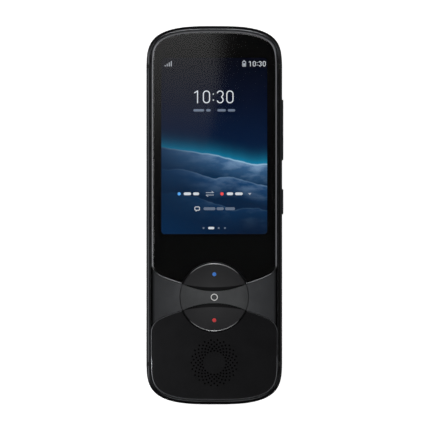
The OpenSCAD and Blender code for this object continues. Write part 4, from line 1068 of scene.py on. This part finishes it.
class TRANSLATOR_OT_dress_model(bpy.types.Operator):
    """Gives every CAD node its finish and smooth shading"""
    bl_idname = "translator.dress_model"
    bl_label = "Dress Model"

    def execute(self, context):
        look = context.scene.translator_finish
        tones = {"frame_metal": look.frame_color, "black_cover": look.cover_color,
                 "key_black": look.key_color, "grey_trim": look.trim_color}
        for slot, (name, color, rough, more) in FINISHES.items():
            material = finish(name, tones.get(slot, color), rough, zones=ZONES.get(slot, ()), **more)
            for node in WEARS[slot]:
                wear(NODES[node], material)
                smooth(NODES[node], KEY_CREASE if node.endswith("_key") else CREASE)
        # a sheet that softens what it mirrors a little, with a painted highlight and painted shade on its
        # bevelled edges, a clear hard window, and a warm clear resin
        for node, clear in (("front_glass", glass("strengthened_cover_glass", rough=0.045, edge="#66676a")),
                            ("camera_window", glass("sapphire_window", ior=1.76)),
                            ("flash_lens", glass("clear_flash_resin", "#f4f2e6", 0.08))):
            wear(NODES[node], clear)
            smooth(NODES[node], GLASS_CREASE if node == "front_glass" else CREASE)
        return {"FINISHED"}


class TRANSLATOR_OT_build_picture(bpy.types.Operator):
    """Builds the lit picture and the printed border under the glass"""
    bl_idname = "translator.build_picture"
    bl_label = "Build Picture"

    def execute(self, context):
        build_picture(context.scene.translator_screen)
        return {"FINISHED"}


class TRANSLATOR_OT_build_clocks(bpy.types.Operator):
    """Builds both clocks and the date's bars"""
    bl_idname = "translator.build_clocks"
    bl_label = "Build Clocks"

    def execute(self, context):
        build_clocks(context.scene.translator_screen)
        return {"FINISHED"}


class TRANSLATOR_OT_build_status_marks(bpy.types.Operator):
    """Builds the signal bars and the battery mark"""
    bl_idname = "translator.build_status_marks"
    bl_label = "Build Status Marks"

    def execute(self, context):
        build_status_marks(context.scene.translator_screen)
        return {"FINISHED"}


class TRANSLATOR_OT_build_language_row(bpy.types.Operator):
    """Builds the row with both languages"""
    bl_idname = "translator.build_language_row"
    bl_label = "Build Language Row"

    def execute(self, context):
        build_language_row(context.scene.translator_screen)
        return {"FINISHED"}


class TRANSLATOR_OT_build_caption_row(bpy.types.Operator):
    """Builds the speech bubble and its bars"""
    bl_idname = "translator.build_caption_row"
    bl_label = "Build Caption Row"

    def execute(self, context):
        build_caption_row(context.scene.translator_screen)
        return {"FINISHED"}


class TRANSLATOR_OT_build_page_row(bpy.types.Operator):
    """Builds the page dots"""
    bl_idname = "translator.build_page_row"
    bl_label = "Build Page Row"

    def execute(self, context):
        build_page_row(context.scene.translator_screen)
        return {"FINISHED"}


class TRANSLATOR_OT_build_camera_optics(bpy.types.Operator):
    """Builds the camera's baffle and first lens"""
    bl_idname = "translator.build_camera_optics"
    bl_label = "Build Camera Optics"

    def execute(self, context):
        build_camera_optics(context.scene.translator_detail)
        return {"FINISHED"}


class TRANSLATOR_OT_build_flash_optics(bpy.types.Operator):
    """Builds the ringed disc of the flash"""
    bl_idname = "translator.build_flash_optics"
    bl_label = "Build Flash Optics"

    def execute(self, context):
        build_flash_optics(context.scene.translator_detail)
        return {"FINISHED"}


class TRANSLATOR_OT_build_socket_contacts(bpy.types.Operator):
    """Builds the contacts of both sockets"""
    bl_idname = "translator.build_socket_contacts"
    bl_label = "Build Socket Contacts"

    def execute(self, context):
        build_socket_contacts(context.scene.translator_detail)
        return {"FINISHED"}


SETTINGS = {"translator_studio": StudioSettings, "translator_finish": FinishSettings,
            "translator_screen": ScreenSettings, "translator_detail": DetailSettings}
STEPS = [TRANSLATOR_OT_build_studio, TRANSLATOR_OT_dress_model, TRANSLATOR_OT_build_picture,
         TRANSLATOR_OT_build_clocks, TRANSLATOR_OT_build_status_marks, TRANSLATOR_OT_build_language_row,
         TRANSLATOR_OT_build_caption_row, TRANSLATOR_OT_build_page_row, TRANSLATOR_OT_build_camera_optics,
         TRANSLATOR_OT_build_flash_optics, TRANSLATOR_OT_build_socket_contacts]


class TRANSLATOR_PT_panel(bpy.types.Panel):
    """Lists the settings and the steps of the build"""
    bl_label = "Pocket Translator"
    bl_idname = "TRANSLATOR_PT_panel"
    bl_space_type = "VIEW_3D"
    bl_region_type = "UI"
    bl_category = "Translator"

    def draw(self, context):
        for holder in SETTINGS:
            look = getattr(context.scene, holder)
            for name in look.bl_rna.properties.keys():
                if name not in ("rna_type", "name"):
                    self.layout.prop(look, name)
        for step in STEPS:
            self.layout.operator(step.bl_idname)


CLASSES = [*SETTINGS.values(), *STEPS, TRANSLATOR_PT_panel]


def register():
    for item in CLASSES:
        bpy.utils.register_class(item)
    for holder, kind in SETTINGS.items():
        setattr(bpy.types.Scene, holder, PointerProperty(type=kind))


def unregister():
    for holder in SETTINGS:
        delattr(bpy.types.Scene, holder)
    for item in reversed(CLASSES):
        bpy.utils.unregister_class(item)


def main():
    register()
    for step in STEPS:
        group, name = step.bl_idname.split(".")
        getattr(getattr(bpy.ops, group), name)()
    save_size(SIZE)


if __name__ == "__main__":
    main()
